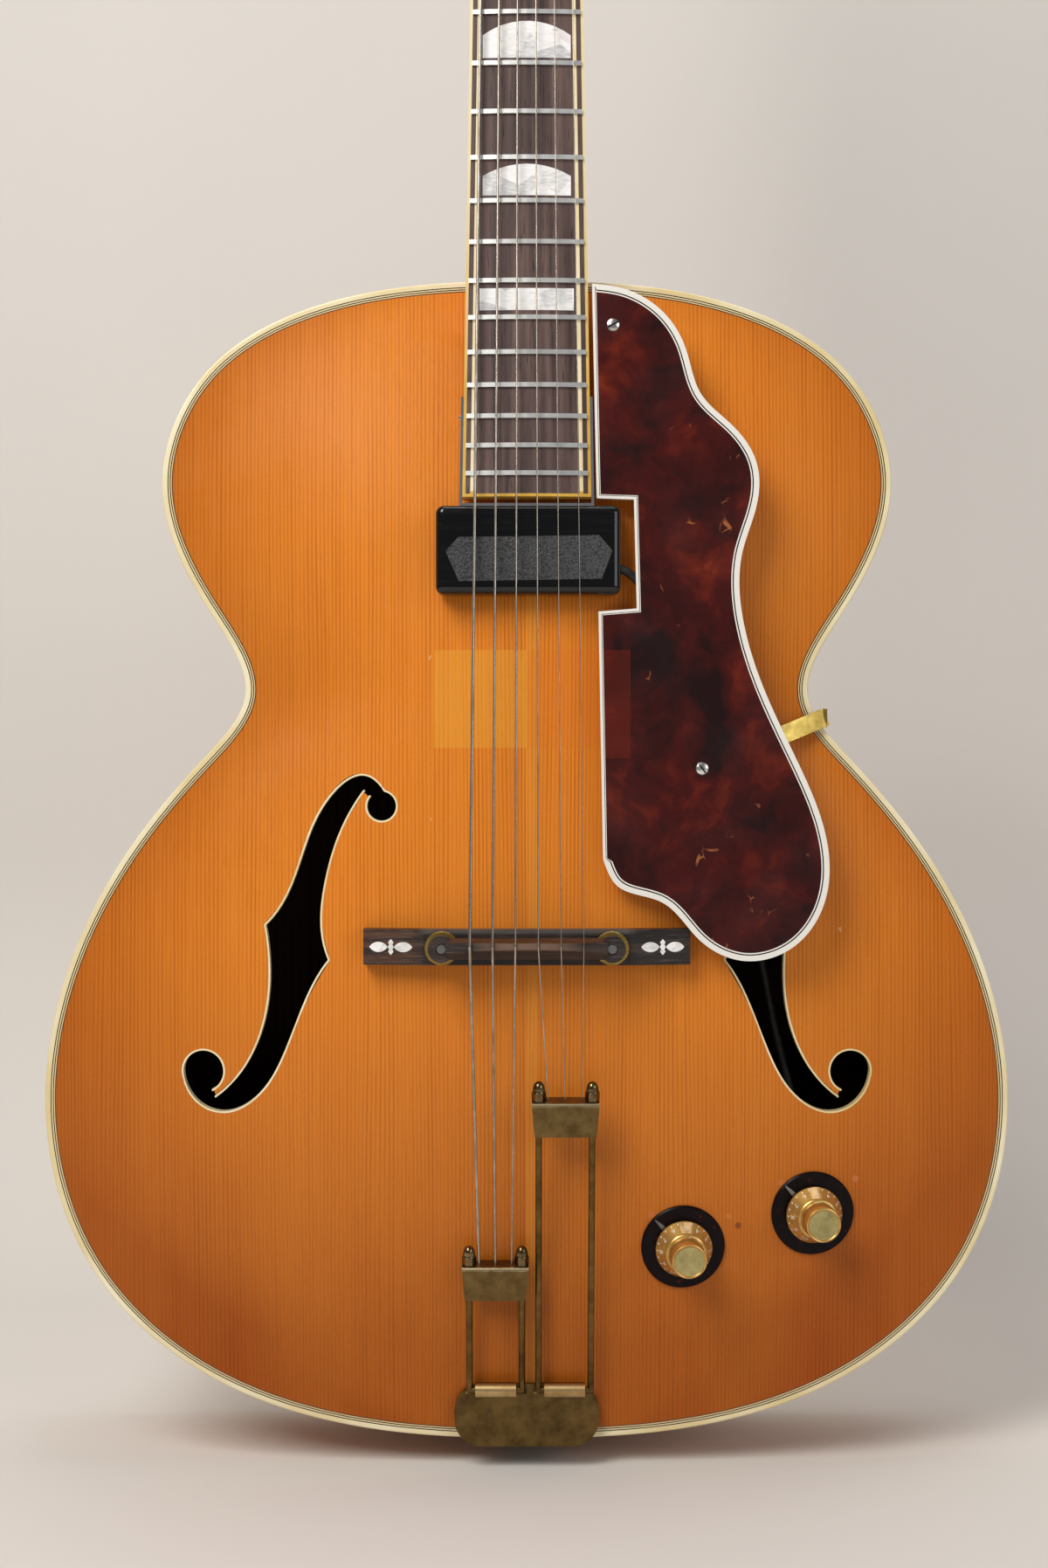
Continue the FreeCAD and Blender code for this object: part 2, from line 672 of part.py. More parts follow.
def worm_key():
    """A key: button, shaft and a worm of four turns."""
    reach = num["tuner_inset"] + 9
    start = -num["housing_width"] / 2 + num["housing_wall"] * 0.3
    centre = V(0, GEAR_DEPTH, WORM_AWAY)
    shaft = Part.makeCylinder(num["key_radius"], reach + 4 - start, centre + V(start, 0, 0), X_AXIS)
    root = num["key_radius"] * 0.9
    tip = num["worm_radius"] + num["tooth_rise"]
    half = PITCH * TOOTH_SHARE
    spiral = Part.makeHelix(PITCH, 4 * PITCH, root)
    profile = Part.makePolygon([V(root, 0, -half * 1.5), V(tip, 0, -half * 0.7), V(tip, 0, half * 0.7),
                                V(root, 0, half * 1.5), V(root, 0, -half * 1.5)])
    thread = Part.Wire(spiral.Edges).makePipeShell([profile], True, True)
    thread.translate(V(0, 0, -2 * PITCH))
    thread.Placement = FreeCAD.Placement(centre, FreeCAD.Rotation(Y_AXIS, 90)).multiply(thread.Placement)
    wide, thick, long = num["button_width"], num["button_wall"], num["button_length"]
    button = box(centre + V(reach, -thick / 2, -wide / 2), centre + V(reach + long, thick / 2, wide / 2))
    button = button.makeFillet(thick * 0.4, button.Edges)
    collar = Part.makeCylinder(num["key_radius"] * 1.7, 3, centre + V(reach - 2.5, 0, 0), X_AXIS)
    return shaft.fuse([thread, button, collar])


def tuner_housing():
    """A hollow cover on the head's back, with bearings for the key."""
    wall = num["housing_wall"]
    gap = num["tooth_gap"]
    half = num["housing_width"] / 2
    low = -num["gear_radius"] - num["tooth_rise"] - gap
    high = WORM_AWAY + num["worm_radius"] + num["tooth_rise"] + gap
    deep = GEAR_DEPTH + num["worm_radius"] + num["tooth_rise"] + gap
    outer = box(V(-half, 0, low - wall), V(half, deep + wall, high + wall))
    outer = outer.makeFillet(1.5, [edge for edge in outer.Edges if edge.BoundBox.YMin > deep])
    inner = box(V(-half + wall, -1, low), V(half - wall, deep, high))
    bearing = Part.makeCylinder(num["key_radius"] + num["running_fit"], 3 * half,
        V(-half + wall * 0.2, GEAR_DEPTH, WORM_AWAY), X_AXIS)
    return outer.cut([inner, bearing])


def post_holes():
    """What each machine takes out of the head, in the machine's frame."""
    front = -num["head_wall"] - 5
    narrow = Part.makeCylinder(num["post_radius"] + num["moving_gap"], num["head_wall"] + 6, V(0, front, 0),
        Y_AXIS)
    wide = Part.makeCylinder(num["bushing_radius"], 11, V(0, front, 0), Y_AXIS)
    return narrow.fuse(wide)


def build_tuners():
    """Housings, bushings, keys and posts of the six machines."""
    front = -num["head_wall"]
    sleeve = turned_body("bushing_blank", [
        (size["post_radius"] + size["running_fit"], -1.2), (size["bushing_radius"] + 1.2, -1.2),
        (size["bushing_radius"] + 1.2, 0), (size["bushing_radius"], 0), (size["bushing_radius"], 6),
        (size["post_radius"] + size["running_fit"], 6)])
    sleeve = solid_of(sleeve)
    seat = FreeCAD.Placement(V(0, front, 0), FreeCAD.Rotation(X_AXIS, -90))
    group("tuner_housings", [placed(tuner_housing(), frame) for frame in TUNERS])
    group("tuner_bushings", [placed(sleeve, frame.multiply(seat)) for frame in TUNERS])
    post = gear_post()
    key = worm_key()
    for number, frame in enumerate(TUNERS, start=1):
        feature(f"tuner_post_{number}", post, frame)
        feature(f"tuner_key_{number}", key, frame)


def build_wood(tenon, space):
    """Neck, heel cap, veneer, nut and truss rod."""
    wood = build_neck(space).fuse(placed(tenon, NECK.inverse()))
    top = num["board_wall"]
    volute = Part.makeLoft([neck_section(0, num["nut_width"] / 2, num["neck_depth"], top),
                            neck_section(16, num["nut_width"] / 2, num["neck_depth"] * 0.8, top)], True, True)
    head = head_slab(num["veneer_wall"], num["head_wall"])
    to_neck = NECK.inverse().multiply(HEAD)
    wood = wood.fuse([volute, placed(head, to_neck)])
    axis_depth = top + num["rod_radius"] + 3
    channel = Part.makeCylinder(num["rod_radius"], num["rod_length"],
        V(0, axis_depth, 16 - num["rod_length"]), Z_AXIS)
    pocket = placed(box(V(-5, -3, 1), V(5, 11, num["rod_pocket"])), to_neck)
    nut_room = board_prism(-1, 0, num["nut_thickness"], -10, top)
    holes = [placed(post_holes(), NECK.inverse().multiply(frame)) for frame in TUNERS]
    wood = wood.cut([channel, pocket, nut_room] + holes)
    wood = placed(wood, NECK)
    back = MID - num["cap_wall"]
    cap_room = box(V(-FAR, back, 0), V(FAR, MID, num["body_length"] + 60))
    below = box(V(-FAR, MID, 0), V(FAR, FAR, num["body_length"] + 60))
    feature("neck", wood.cut([cap_room, below]))
    feature("heel_cap", wood.common(cap_room))
    veneer = head_slab(0, num["veneer_wall"])
    veneer_holes = [placed(post_holes(), HEAD.inverse().multiply(frame)) for frame in TUNERS]
    pocket = box(V(-5, -3, 1), V(5, 11, num["rod_pocket"]))
    nut = board_prism(0, 0, num["nut_thickness"], -num["nut_rise"], top)
    nut_seat = placed(nut, to_neck.inverse())
    feature("headstock_veneer", veneer.cut([pocket, nut_seat] + veneer_holes), HEAD)
    slots = [placed(string, NECK.inverse()) for string in nut_slots()]
    feature("nut", nut.common(crown(num["nut_rise"])).cut(slots), NECK)
    rod_foot = V(0, axis_depth, 16 - num["rod_length"])
    rod_bar = Part.makeCylinder(num["rod_radius"], num["rod_length"], rod_foot, Z_AXIS)
    feature("truss_rod", rod_bar, NECK)
    cover = padded_body("cover_blank", "XZ_Plane", [
        (-7, 2), (7, 2), (11, size["rod_pocket"] - 8), (5, size["rod_pocket"] + 6),
        (-5, size["rod_pocket"] + 6),
        (-11, size["rod_pocket"] - 8)], size["veneer_wall"])
    cover = solid_of(cover)
    cover.translate(V(0, -cover.BoundBox.YMax, 0))
    feature("truss_rod_cover", cover, HEAD)


# Strings, from the low one on the bass side to the high one
GAUGES = [1.32, 1.07, 0.81, 0.61, 0.43, 0.33]
ANCHOR_X = [-20.7, -13.7, -6.7, 9.7, 16.7, 23.7]
TURNS = 3
TURN_GAP = 0.5
BALL_RADIUS = 1.3
BALL_HALF = 1.1
# Machine that winds each string
WINDER = [0, 1, 2, 5, 4, 3]
HINGE_Y = -MID - num["tail_lift"] - num["tail_plate_wall"] - num["knuckle_radius"] + 0.6
HINGE = V(0, HINGE_Y, num["fork_hinge_height"])
FORK_LEAN = math.degrees(math.atan2(HINGE_Y - SADDLE_POINT.y,
    num["saddle_height"] - num["fork_hinge_height"]))
FORK = FreeCAD.Placement(HINGE, FreeCAD.Rotation(X_AXIS, FORK_LEAN))


def string_x(number, spread):
    """Place across of a string, for a given spread of the outer two."""
    return spread * (number / 5 - 0.5)


def saddle_spot(number):
    """Where a string's middle crosses the saddle, just clear of it."""
    x = string_x(number, num["saddle_spread"])
    lift = GAUGES[number] / 2 + num["string_gap"]
    return SADDLE_POINT + V(x, x * x / (2 * num["board_radius"]) - lift, 0)


def nut_spot(number):
    """Where a string's middle crosses the nut."""
    x = string_x(number, num["nut_spread"])
    depth = x * x / (2 * num["board_radius"]) - num["nut_rise"] + GAUGES[number] * 0.3
    return NECK.multVec(V(x, depth, num["nut_thickness"] / 2))


def anchor_spot(number):
    """Where a string's end sits inside its anchor."""
    length = fork_length(number < 3)
    return FORK.multVec(V(ANCHOR_X[number], 0, length - num["anchor_height"] * 0.45))


def fork_length(bass):
    """Length of a fork from its hinge to the top of its anchor."""
    top = num["fork_bass_top"] if bass else num["fork_treble_top"]
    return (top - num["fork_hinge_height"]) / math.cos(math.radians(FORK_LEAN))


@functools.lru_cache(None)
def winding(number):
    """Turns of a string round its post, as arcs of a third of a turn, with the point where it starts."""
    frame = TUNERS[WINDER[number]]
    wire = GAUGES[number]
    radius = num["post_radius"] + num["moving_gap"] + wire / 2
    step = wire + TURN_GAP
    front = -num["head_wall"] - num["post_rise"] + 6.5
    side = 1 if WINDER[number] < 3 else -1
    away = frame.inverse().multVec(nut_spot(number))
    bearing = math.atan2(away.z, away.x) + side * math.acos(radius / math.hypot(away.x, away.z))

    def spot(share):
        angle = bearing + side * 2 * math.pi * share
        return frame.multVec(V(radius * math.cos(angle), front + step * share, radius * math.sin(angle)))

    arcs = [Part.Arc(spot(i / 3), spot((i + 0.5) / 3), spot((i + 1) / 3)).toShape() for i in range(TURNS * 3)]
    points = [spot(i / 24) for i in range(TURNS * 24 + 1)]
    gaps = [first.distanceToPoint(second) - wire for i, first in enumerate(points)
            for second in points[i + 13:]]
    print(f"string {number + 1}: least gap between its turns {min(gaps):.2f} mm")
    section = Part.Wire(Part.makeCircle(wire / 2, spot(0), arcs[0].tangentAt(arcs[0].FirstParameter)))
    return Part.Wire(arcs).makePipeShell([section], True, False), spot(0)


def string_solid(number):
    """One string: ball end, three straight runs and its turns round the post."""
    radius = GAUGES[number] / 2
    end = anchor_spot(number)
    saddle = saddle_spot(number)
    nut = nut_spot(number)
    turns, start = winding(number)
    runs = [rod(end, saddle, radius), rod(saddle, nut, radius), rod(nut, start, radius)]
    knees = [Part.makeSphere(radius, spot) for spot in (saddle, nut, start)]
    ball = rod(end - V(BALL_HALF, 0, 0), end + V(BALL_HALF, 0, 0), BALL_RADIUS)
    return runs[0].fuse(runs[1:] + knees + [turns, ball])


def nut_slots():
    """The strings' paths over the nut, which cut its slots."""
    paths = []
    for number in range(6):
        radius = GAUGES[number] / 2 + num["running_fit"]
        knee = Part.makeSphere(radius, nut_spot(number))
        before = rod(saddle_spot(number), nut_spot(number), radius)
        after = rod(nut_spot(number), winding(number)[1], radius)
        paths.append(before.fuse([knee, after]))
    return paths


def build_strings():
    """Four wound strings and two plain ones."""
    group("wound_strings", [string_solid(number) for number in range(4)])
    group("plain_strings", [string_solid(number) for number in (4, 5)])


# Bridge
BASE_FRONT = -MID - num["top_arch"] - num["base_wall"]
WHEEL_BACK = BASE_FRONT - num["wheel_gap"]
SADDLE_BACK = WHEEL_BACK - num["wheel_wall"]


def leaf(centre, span, width):
    """A pointed oval leaf lying across, as a prism through the base's face."""
    half = span / 2
    low = Part.Arc(V(centre - half, 0, 0), V(centre, 0, -width / 2), V(centre + half, 0, 0)).toShape()
    high = Part.Arc(V(centre + half, 0, 0), V(centre, 0, width / 2), V(centre - half, 0, 0)).toShape()
    face = Part.Face(Part.Wire([low, high]))
    face.translate(V(0, BASE_FRONT - 1, num["saddle_height"] - 1.6))
    return face.extrude(V(0, num["base_wall"], 0))


def base_blank():
    """The bridge base: a long block with drawn-down ends."""
    half = num["base_length"] / 2
    back = -MID - num["top_arch"] * 0.3
    corners = [(-half, back), (half, back), (half, BASE_FRONT + 4), (half - 26, BASE_FRONT),
               (26 - half, BASE_FRONT), (-half, BASE_FRONT + 4)]
    points = [V(x, y, num["saddle_height"] - 1.6 - num["base_width"] / 2) for x, y in corners]
    return Part.Face(Part.makePolygon(points + points[:1])).extrude(V(0, 0, num["base_width"]))


def build_bridge(space):
    """Base on the arch, studs, thumbwheels and saddle."""
    base = base_blank().cut(space)
    deeper = base_blank()
    deeper.translate(V(0, num["inlay_depth"], 0))
    skin = base.cut(deeper)
    pearls = []
    for side in (-1, 1):
        centre = side * num["base_length"] * 0.415
        pieces = [leaf(centre - 5.4, 8, 4.4), leaf(centre + 5.4, 8, 4.4), leaf(centre, 2.4, 2.4)]
        pearls += [piece.common(skin) for piece in pieces]
    half = num["stud_spacing"] / 2
    centre_z = num["saddle_height"] - 1.6
    top = SADDLE_BACK - 5.5
    studs = [rod(V(side * half, BASE_FRONT + 5, centre_z), V(side * half, top, centre_z), num["stud_radius"])
             for side in (-1, 1)]
    feature("bridge_base", base.cut(studs + pearls))
    group("bridge_studs", studs)
    bore = size["stud_radius"] + size["moving_gap"]
    rim = size["wheel_radius"]
    wheel = solid_of(turned_body("wheel_blank", [
        (bore, 0), (rim - 0.5, 0), (rim, 0.5), (rim, size["wheel_wall"] - 0.5),
        (rim - 0.5, size["wheel_wall"]), (bore, size["wheel_wall"])]))
    for label, side in (("thumbwheel_bass", -1), ("thumbwheel_treble", 1)):
        feature(label, wheel, FreeCAD.Placement(V(side * half, WHEEL_BACK, centre_z),
            FreeCAD.Rotation(X_AXIS, 90)))
    lobes = [rod(V(side * half, SADDLE_BACK, centre_z), V(side * half, SADDLE_BACK - 6.5, centre_z),
        num["saddle_lobe"])
             for side in (-1, 1)]
    holes = [rod(V(side * half, SADDLE_BACK + 1, centre_z), V(side * half, SADDLE_BACK - 20, centre_z),
                 num["stud_radius"] + num["moving_gap"]) for side in (-1, 1)]
    wide = num["saddle_bar"] / 2
    crest = SADDLE_POINT.y - 0.5
    corners = [(-wide, SADDLE_BACK), (wide, SADDLE_BACK), (wide, SADDLE_BACK - 4), (2.6, crest), (0.8, crest),
               (-wide, SADDLE_BACK - 5.5)]
    points = [V(2 - half, y, centre_z + z) for z, y in corners]
    bar = Part.Face(Part.makePolygon(points + points[:1])).extrude(V(2 * half - 4, 0, 0))
    round_top = Part.makeCylinder(num["board_radius"], 40, SADDLE_POINT + V(0, num["board_radius"], -20),
        Z_AXIS)
    feature("bridge_saddle", bar.common(round_top).fuse(lobes).cut(holes))
    return pearls


# Tailpiece
def build_fork(label, side):
    """One fork of bent rod, with its anchor and two nuts, in the fork's frame."""
    bass = side < 0
    length = fork_length(bass)
    radius = num["fork_rod"]
    half = num["fork_spacing"] / 2
    centre = side * num["fork_centre"] + 1.5
    corners = [V(centre - half, 0, length + 2), V(centre - half, 0, 0), V(centre + half, 0, 0),
               V(centre + half, 0, length + 2)]
    rods = [rod(start, end, radius) for start, end in zip(corners, corners[1:])]
    knees = [Part.makeSphere(radius, corner) for corner in corners[1:3]]
    feature("fork_" + label, rods[0].fuse(rods[1:] + knees), FORK)
    wide = num["anchor_width"] / 2
    depth = num["anchor_depth"] / 2
    tall = num["anchor_height"]
    wall = num["anchor_wall"]
    outer = box(V(centre - wide, -depth, length - tall), V(centre + wide, depth, length))
    hollow = box(V(centre - half + radius + wall, -depth + wall, length - tall - 1),
                 V(centre + half - radius - wall, depth + 1, length - wall))
    holes = [rod(V(x, 0, length - tall - 1), V(x, 0, length + 1), radius)
             for x in (centre - half, centre + half)]
    slots = [placed(rod(anchor_spot(n), saddle_spot(n), GAUGES[n] / 2 + num["moving_gap"]), FORK.inverse())
             for n in range(6) if (n < 3) == bass]
    feature("anchor_" + label, outer.cut([hollow] + holes + slots), FORK)
    cap = solid_of(turned_body("acorn_blank_" + label, [
        (size["fork_rod"], 0), (size["acorn_radius"], 0), (size["acorn_radius"], size["acorn_length"] * 0.5),
        (size["acorn_radius"] * 0.7, size["acorn_length"] * 0.85), (0, size["acorn_length"]), (0, 2),
        (size["fork_rod"], 2)]))
    nuts = [placed(cap, FORK.multiply(FreeCAD.Placement(V(x, 0, length), FreeCAD.Rotation())))
            for x in (centre - half, centre + half)]
    group("anchor_nuts_" + label, nuts)


def build_tail_plate(pin_hole):
    """Plate over the tail edge, with two rolled knuckles round the forks' pins."""
    half = num["tail_plate_width"] / 2
    wall = num["tail_plate_wall"]
    front = -MID - num["tail_lift"] - wall
    shelf = box(V(-half, front, -wall), V(half, front + wall, num["tail_plate_top"]))
    shelf = shelf.makeFillet(12, [edge for edge in shelf.Edges if edge.Length < wall * 1.01])
    tab_half = num["tail_tab_width"] / 2
    tab = box(V(-tab_half, front, -wall), V(tab_half, front + num["tail_tab_length"] + 8, 0))
    knuckles = []
    for side in (-1, 1):
        centre = side * num["fork_centre"] + 1.5
        reach = num["knuckle_length"] / 2
        knuckles.append(rod(HINGE + V(centre - reach, 0, 0), HINGE + V(centre + reach, 0, 0),
            num["knuckle_radius"]))
    bores = [rod(HINGE + V(-half - 5, 0, 0), HINGE + V(half + 5, 0, 0), num["fork_rod"] + num["running_fit"])]
    places = [HINGE + V(side * num["fork_centre"] + 1.5 + end * num["fork_spacing"] / 2, 0, 0)
              for side in (-1, 1) for end in (-1, 1)]
    legs = [rod(place - V(2.2, 0, 0), place + V(2.2, 0, 0), num["knuckle_radius"] + num["moving_gap"])
            for place in places]
    rim = outline_slab(0, -MID, MID)
    feature("tailpiece_plate", shelf.fuse([tab] + knuckles).cut(bores + legs + [pin_hole, rim]))


def build_end_pin():
    """Hollow end pin that holds a strap and takes a plug."""
    bore = size["jack_radius"]
    pin = turned_body("end_pin", [
        (bore, -size["pin_length"]), (size["pin_flange"], -size["pin_length"]),
        (size["pin_flange"], -size["pin_length"] + 2), (size["pin_radius"], -size["pin_length"] + 4),
        (size["pin_radius"], size["jack_reach"]), (bore, size["jack_reach"])])
    keep(pin, "end_pin")


# Pickup in front of the board's end
PICKUP_X = 0.6
PANEL = [(-30.2, 24.6), (30.6, 25.4), (36.4, 18.8), (31.8, 6.6), (-30, 5.6), (-35.6, 18.4)]


def string_depth(z):
    """Depth of the strings' plane at a height above the tail."""
    nut = NECK.multVec(V(0, -num["nut_rise"], 0))
    return between(SADDLE_POINT.y, nut.y, (z - SADDLE_POINT.z) / (nut.z - SADDLE_POINT.z))


def lead_start():
    """Where the lead leaves the side of the pickup."""
    low = num["pickup_bottom"]
    back = string_depth(low) + num["pickup_string_gap"] + num["pickup_wall"]
    return V(PICKUP_X + num["pickup_width"] / 2, back - 5, low + 12)


def build_pickup(lead):
    """Cover, panel, coil and the band that clamps it to the board's end."""
    low = num["pickup_bottom"]
    high = low + num["pickup_length"]
    front = string_depth(low) + num["pickup_string_gap"]
    back = front + num["pickup_wall"]
    half = num["pickup_width"] / 2
    skin = num["pickup_skin"]
    block = box(V(PICKUP_X - half, front, low), V(PICKUP_X + half, back, high))
    rounded = [edge for edge in block.Edges if edge.BoundBox.YLength > 1 or edge.BoundBox.YMax < front + 0.1]
    shell = block.makeFillet(num["pickup_corner"], rounded)
    inside = box(V(PICKUP_X - half + skin, front + skin, low + skin),
        V(PICKUP_X + half - skin, back - skin, high - skin))
    points = [V(PICKUP_X + x, front - 1, low + z) for x, z in PANEL]
    sunk = Part.Face(Part.makePolygon(points + points[:1])).extrude(V(0, 1 + num["panel_wall"], 0))
    panel = sunk.common(block)
    feature("pickup_cover", shell.cut([inside, sunk, lead]))
    feature("pickup_panel", panel)
    coil = inside.common(box(V(PICKUP_X - half * 0.8, front, low + 8),
        V(PICKUP_X + half * 0.8, back, high - 8)))
    feature("pickup_coil", coil)
    end = -num["board_length"]
    fit = num["running_fit"]
    wall = num["band_wall"]
    depth = num["board_wall"] - num["band_height"] / 2
    band = board_prism(-wall - fit, end - 9, end + 44, depth, depth + num["band_height"])
    room = board_prism(-fit, end - num["band_gap"], end + 50, depth - 5, depth + num["band_height"] + 5)
    feature("pickup_clamp", placed(band.cut(room), NECK).cut(block))


# Pickguard, a flat plate above the top on the treble side
GUARD = [(28.4, 509), (40.9, 507.2), (59.3, 496.6), (68.9, 481.2), (75.7, 460.9), (89.2, 447.3),
    (99.8, 430.9),
         (100, 413.5), (93.6, 392.3), (94.1, 361.1), (104.5, 328.6), (119.6, 296.2), (130, 266.1),
         (128.9, 240.5),
         (115, 220.8), (94.1, 215), (74.4, 224.3), (58.1, 240.5), (39, 247.5), (33, 259.1)]
GUARD_NOTCH = [(31.1, 366.3), (47.7, 367.6), (46.5, 415), (30.3, 415.5)]
GUARD_BACK = -MID - 20.5
GUARD_SLOPE = -1.0
GUARD_FRAME = FreeCAD.Placement(V(0, GUARD_BACK, GUARD[0][1]), FreeCAD.Rotation(X_AXIS, GUARD_SLOPE))
GUARD_SCREWS = [(37.5, 491), (75.9, 298.2)]


def guard_face():
    """Outline of the guard in its own frame: one smooth edge and a straight one with a notch."""
    drop = GUARD[0][1]
    curve = Part.BSplineCurve()
    curve.interpolate([V(x, 0, z - drop) for x, z in GUARD])
    corners = [V(x, 0, z - drop) for x, z in GUARD[-1:] + GUARD_NOTCH + GUARD[:1]]
    sides = [Part.makeLine(start, end) for start, end in zip(corners, corners[1:])]
    return Part.Face(Part.Wire([curve.toShape()] + sides))


def build_guard():
    """Guard plate, its bracket to the rim and the post at its upper screw."""
    plate = guard_face().extrude(V(0, -num["guard_wall"], 0))
    feature("pickguard", plate, GUARD_FRAME)
    wall = num["bracket_wall"]
    low_x, low_z = GUARD_SCREWS[1]
    edge_z = num["waist_height"] - 10
    half = num["bracket_width"] / 2
    edge_x = max(half_width(edge_z - half), half_width(edge_z + half)) + 0.1
    back = GUARD_FRAME.multVec(V(0, 0, low_z - GUARD[0][1])).y
    turn = math.degrees(math.atan2(edge_z - low_z, edge_x - low_x))
    length = math.hypot(edge_z - low_z, edge_x - low_x)
    seat = back + 0.4
    rim = -MID - wall - 0.4
    slope = math.degrees(math.atan2(rim - seat, length))
    strip = box(V(-6, 0, -half), V(math.hypot(length, rim - seat) + wall, wall, half))
    swing = FreeCAD.Rotation(Y_AXIS, -turn).multiply(FreeCAD.Rotation(Z_AXIS, slope))
    strip.Placement = FreeCAD.Placement(V(low_x, seat, low_z), swing)
    side = box(V(edge_x, rim, edge_z - half), V(edge_x + wall, -MID + 24, edge_z + half))
    x, z = GUARD_SCREWS[0]
    seat = GUARD_FRAME.multVec(V(x, 0, z - GUARD[0][1]))
    post = rod(seat, V(x, -MID, z), 4)
    space = arched_slab(-MID, -num["top_arch"], num["rim_depth"])
    lid = placed(guard_face().extrude(V(0, -FAR / 4, 0)), GUARD_FRAME)
    group("pickguard_bracket", [strip.fuse(side).cut(lid), post.cut([space, lid])])


# Lead from the pickup, under the guard and through the treble f-hole to the controls
def build_lead(start):
    """The pickup's lead: straight runs joined by round arcs."""
    route = [start + V(-1.5, 0, 0), V(47, -63.4, 384), V(56, -63.2, 366), V(62, -63.4, 330),
        V(70, -63.2, 292),
             V(88, -61.5, 264), V(96, -56, 246), V(100, -44, 232), V(106, -34, 212), V(112, -31, 180),
             V(120, -32, 148),
             V(125.4, -33.5, 120)]
    edges = []
    cursor = route[0]
    radii = []
    for before, corner, after in zip(route, route[1:], route[2:]):
        back = (before - corner).normalize()
        ahead = (after - corner).normalize()
        turn = math.pi - back.getAngle(ahead)
        short = min((before - corner).Length, (after - corner).Length)
        cut = 0.45 * short
        radii.append(cut / math.tan(turn / 2))
        middle = (back + ahead).normalize()
        near = corner + middle * (radii[-1] / math.cos(turn / 2) - radii[-1])
        edges.append(Part.makeLine(cursor, corner + back * cut))
        edges.append(Part.Arc(corner + back * cut, near, corner + ahead * cut).toShape())
        cursor = corner + ahead * cut
    edges.append(Part.makeLine(cursor, route[-1]))
    path = Part.Wire(edges)
    print("lead radii", [round(radius, 1) for radius in radii])
    section = Part.Wire(Part.makeCircle(num["lead_radius"], route[0], route[1] - route[0]))
    tube = path.makePipeShell([section], True, False)
    share = tube.Volume / (path.Length * math.pi * num["lead_radius"] ** 2)
    print(f"lead length {path.Length:.1f} mm, volume against section times length {share:.4f}")
    feature("pickup_lead", tube)
    return tube


# Controls on the lower treble side
def control_frame(name):
    """A control's frame: its origin on the top, Z along the outward normal."""
    x, z = num[name + "_x"], num[name + "_z"]
    return FreeCAD.Placement(V(x, top_depth(x, z), z), FreeCAD.Rotation(Z_AXIS, top_normal(x, z)))


CONTROLS = {name: control_frame(name) for name in ("volume", "tone")}


def control_holes():
    """Holes through the top for the two controls."""
    hole = Part.makeCylinder(num["shaft_radius"] + 2, 60, V(0, 0, -30), Z_AXIS)
    return [placed(hole, frame) for frame in CONTROLS.values()]


def build_controls(space):
    """Discs, controls under the top, and knobs with their shafts."""
    shaft = size["shaft_radius"]
    bore = shaft + size["running_fit"]
    wall = size["disc_wall"]
    deep = -size["plate_wall"] - 3
    disc = solid_of(turned_body("disc_blank", [
        (shaft + 2, -1.5), (size["disc_radius"], -1.5), (size["disc_radius"], wall - 0.6),
        (size["disc_radius"] - 0.6, wall),
        (shaft + 2, wall)]))
    can = solid_of(turned_body("control_blank", [
        (bore, deep), (bore, wall + 0.2), (shaft + 2, wall + 0.2), (shaft + 2, deep),
        (size["pot_radius"], deep),
        (size["pot_radius"], deep - size["pot_depth"]), (0, deep - size["pot_depth"]), (0, deep - 3.5),
        (bore, deep - 3.5)]))
    foot = wall + size["knob_gap"]
    top = foot + size["knob_height"]
    knob = solid_of(turned_body("knob_blank", [
        (0, deep - 3), (shaft, deep - 3), (shaft, foot), (size["skirt_radius"], foot),
        (size["skirt_radius"], foot + 2),
        (size["cap_radius"] + 1.2, foot + 7), (size["cap_radius"], foot + 9), (size["cap_radius"], top - 0.8),
        (size["cap_radius"] - 0.8, top), (0, top)]))
    discs = [placed(disc, frame).cut(space) for frame in CONTROLS.values()]
    group("knob_discs", discs)
    group("potentiometers", [placed(can, frame) for frame in CONTROLS.values()])
    for name, frame in CONTROLS.items():
        feature("knob_" + name, knob, frame)


def build_screws():
    """Screws of the tailpiece, the guard, the rod's cover and the machines."""
    blank = solid_of(turned_body("screw_blank", [
        (0, -size["screw_length"]), (size["screw_radius"], -size["screw_length"] + 2),
        (size["screw_radius"], 0),
        (size["screw_head"], 0), (size["screw_head"] * 0.9, 0.8), (0, 1.3)]))
    frames = []
    tab = -num["tail_plate_wall"]
    for x, y in ((-11, -26), (11, -26), (0, -17)):
        frames.append(FreeCAD.Placement(V(x, y, tab), FreeCAD.Rotation(X_AXIS, 180)))
    for x, z in GUARD_SCREWS:
        seat = V(x, -num["guard_wall"], z - GUARD[0][1])
        frames.append(GUARD_FRAME.multiply(FreeCAD.Placement(seat, FreeCAD.Rotation(X_AXIS, 90))))
    group("mounting_screws", [placed(blank, frame) for frame in frames])


def build_all():
    """Every piece, from the body outwards."""
    tenon = tenon_solid()
    pin_hole = Part.makeCylinder(num["pin_radius"], FAR, V(0, 0, -FAR / 2), Z_AXIS)
    space = body_space()
    rings = build_plates(tenon)
    build_rim(tenon, rings, pin_hole)
    build_tone_bars()
    build_wood(tenon, space)
    pearls = build_board()
    build_tuners()
    pearls += build_bridge(space)
    group("pearl_inlays", pearls)
    build_strings()
    for label, side in (("bass", -1), ("treble", 1)):
        build_fork(label, side)
    build_tail_plate(pin_hole)
    build_end_pin()
    build_pickup(build_lead(lead_start()))
    build_guard()
    build_controls(space)
    build_screws()


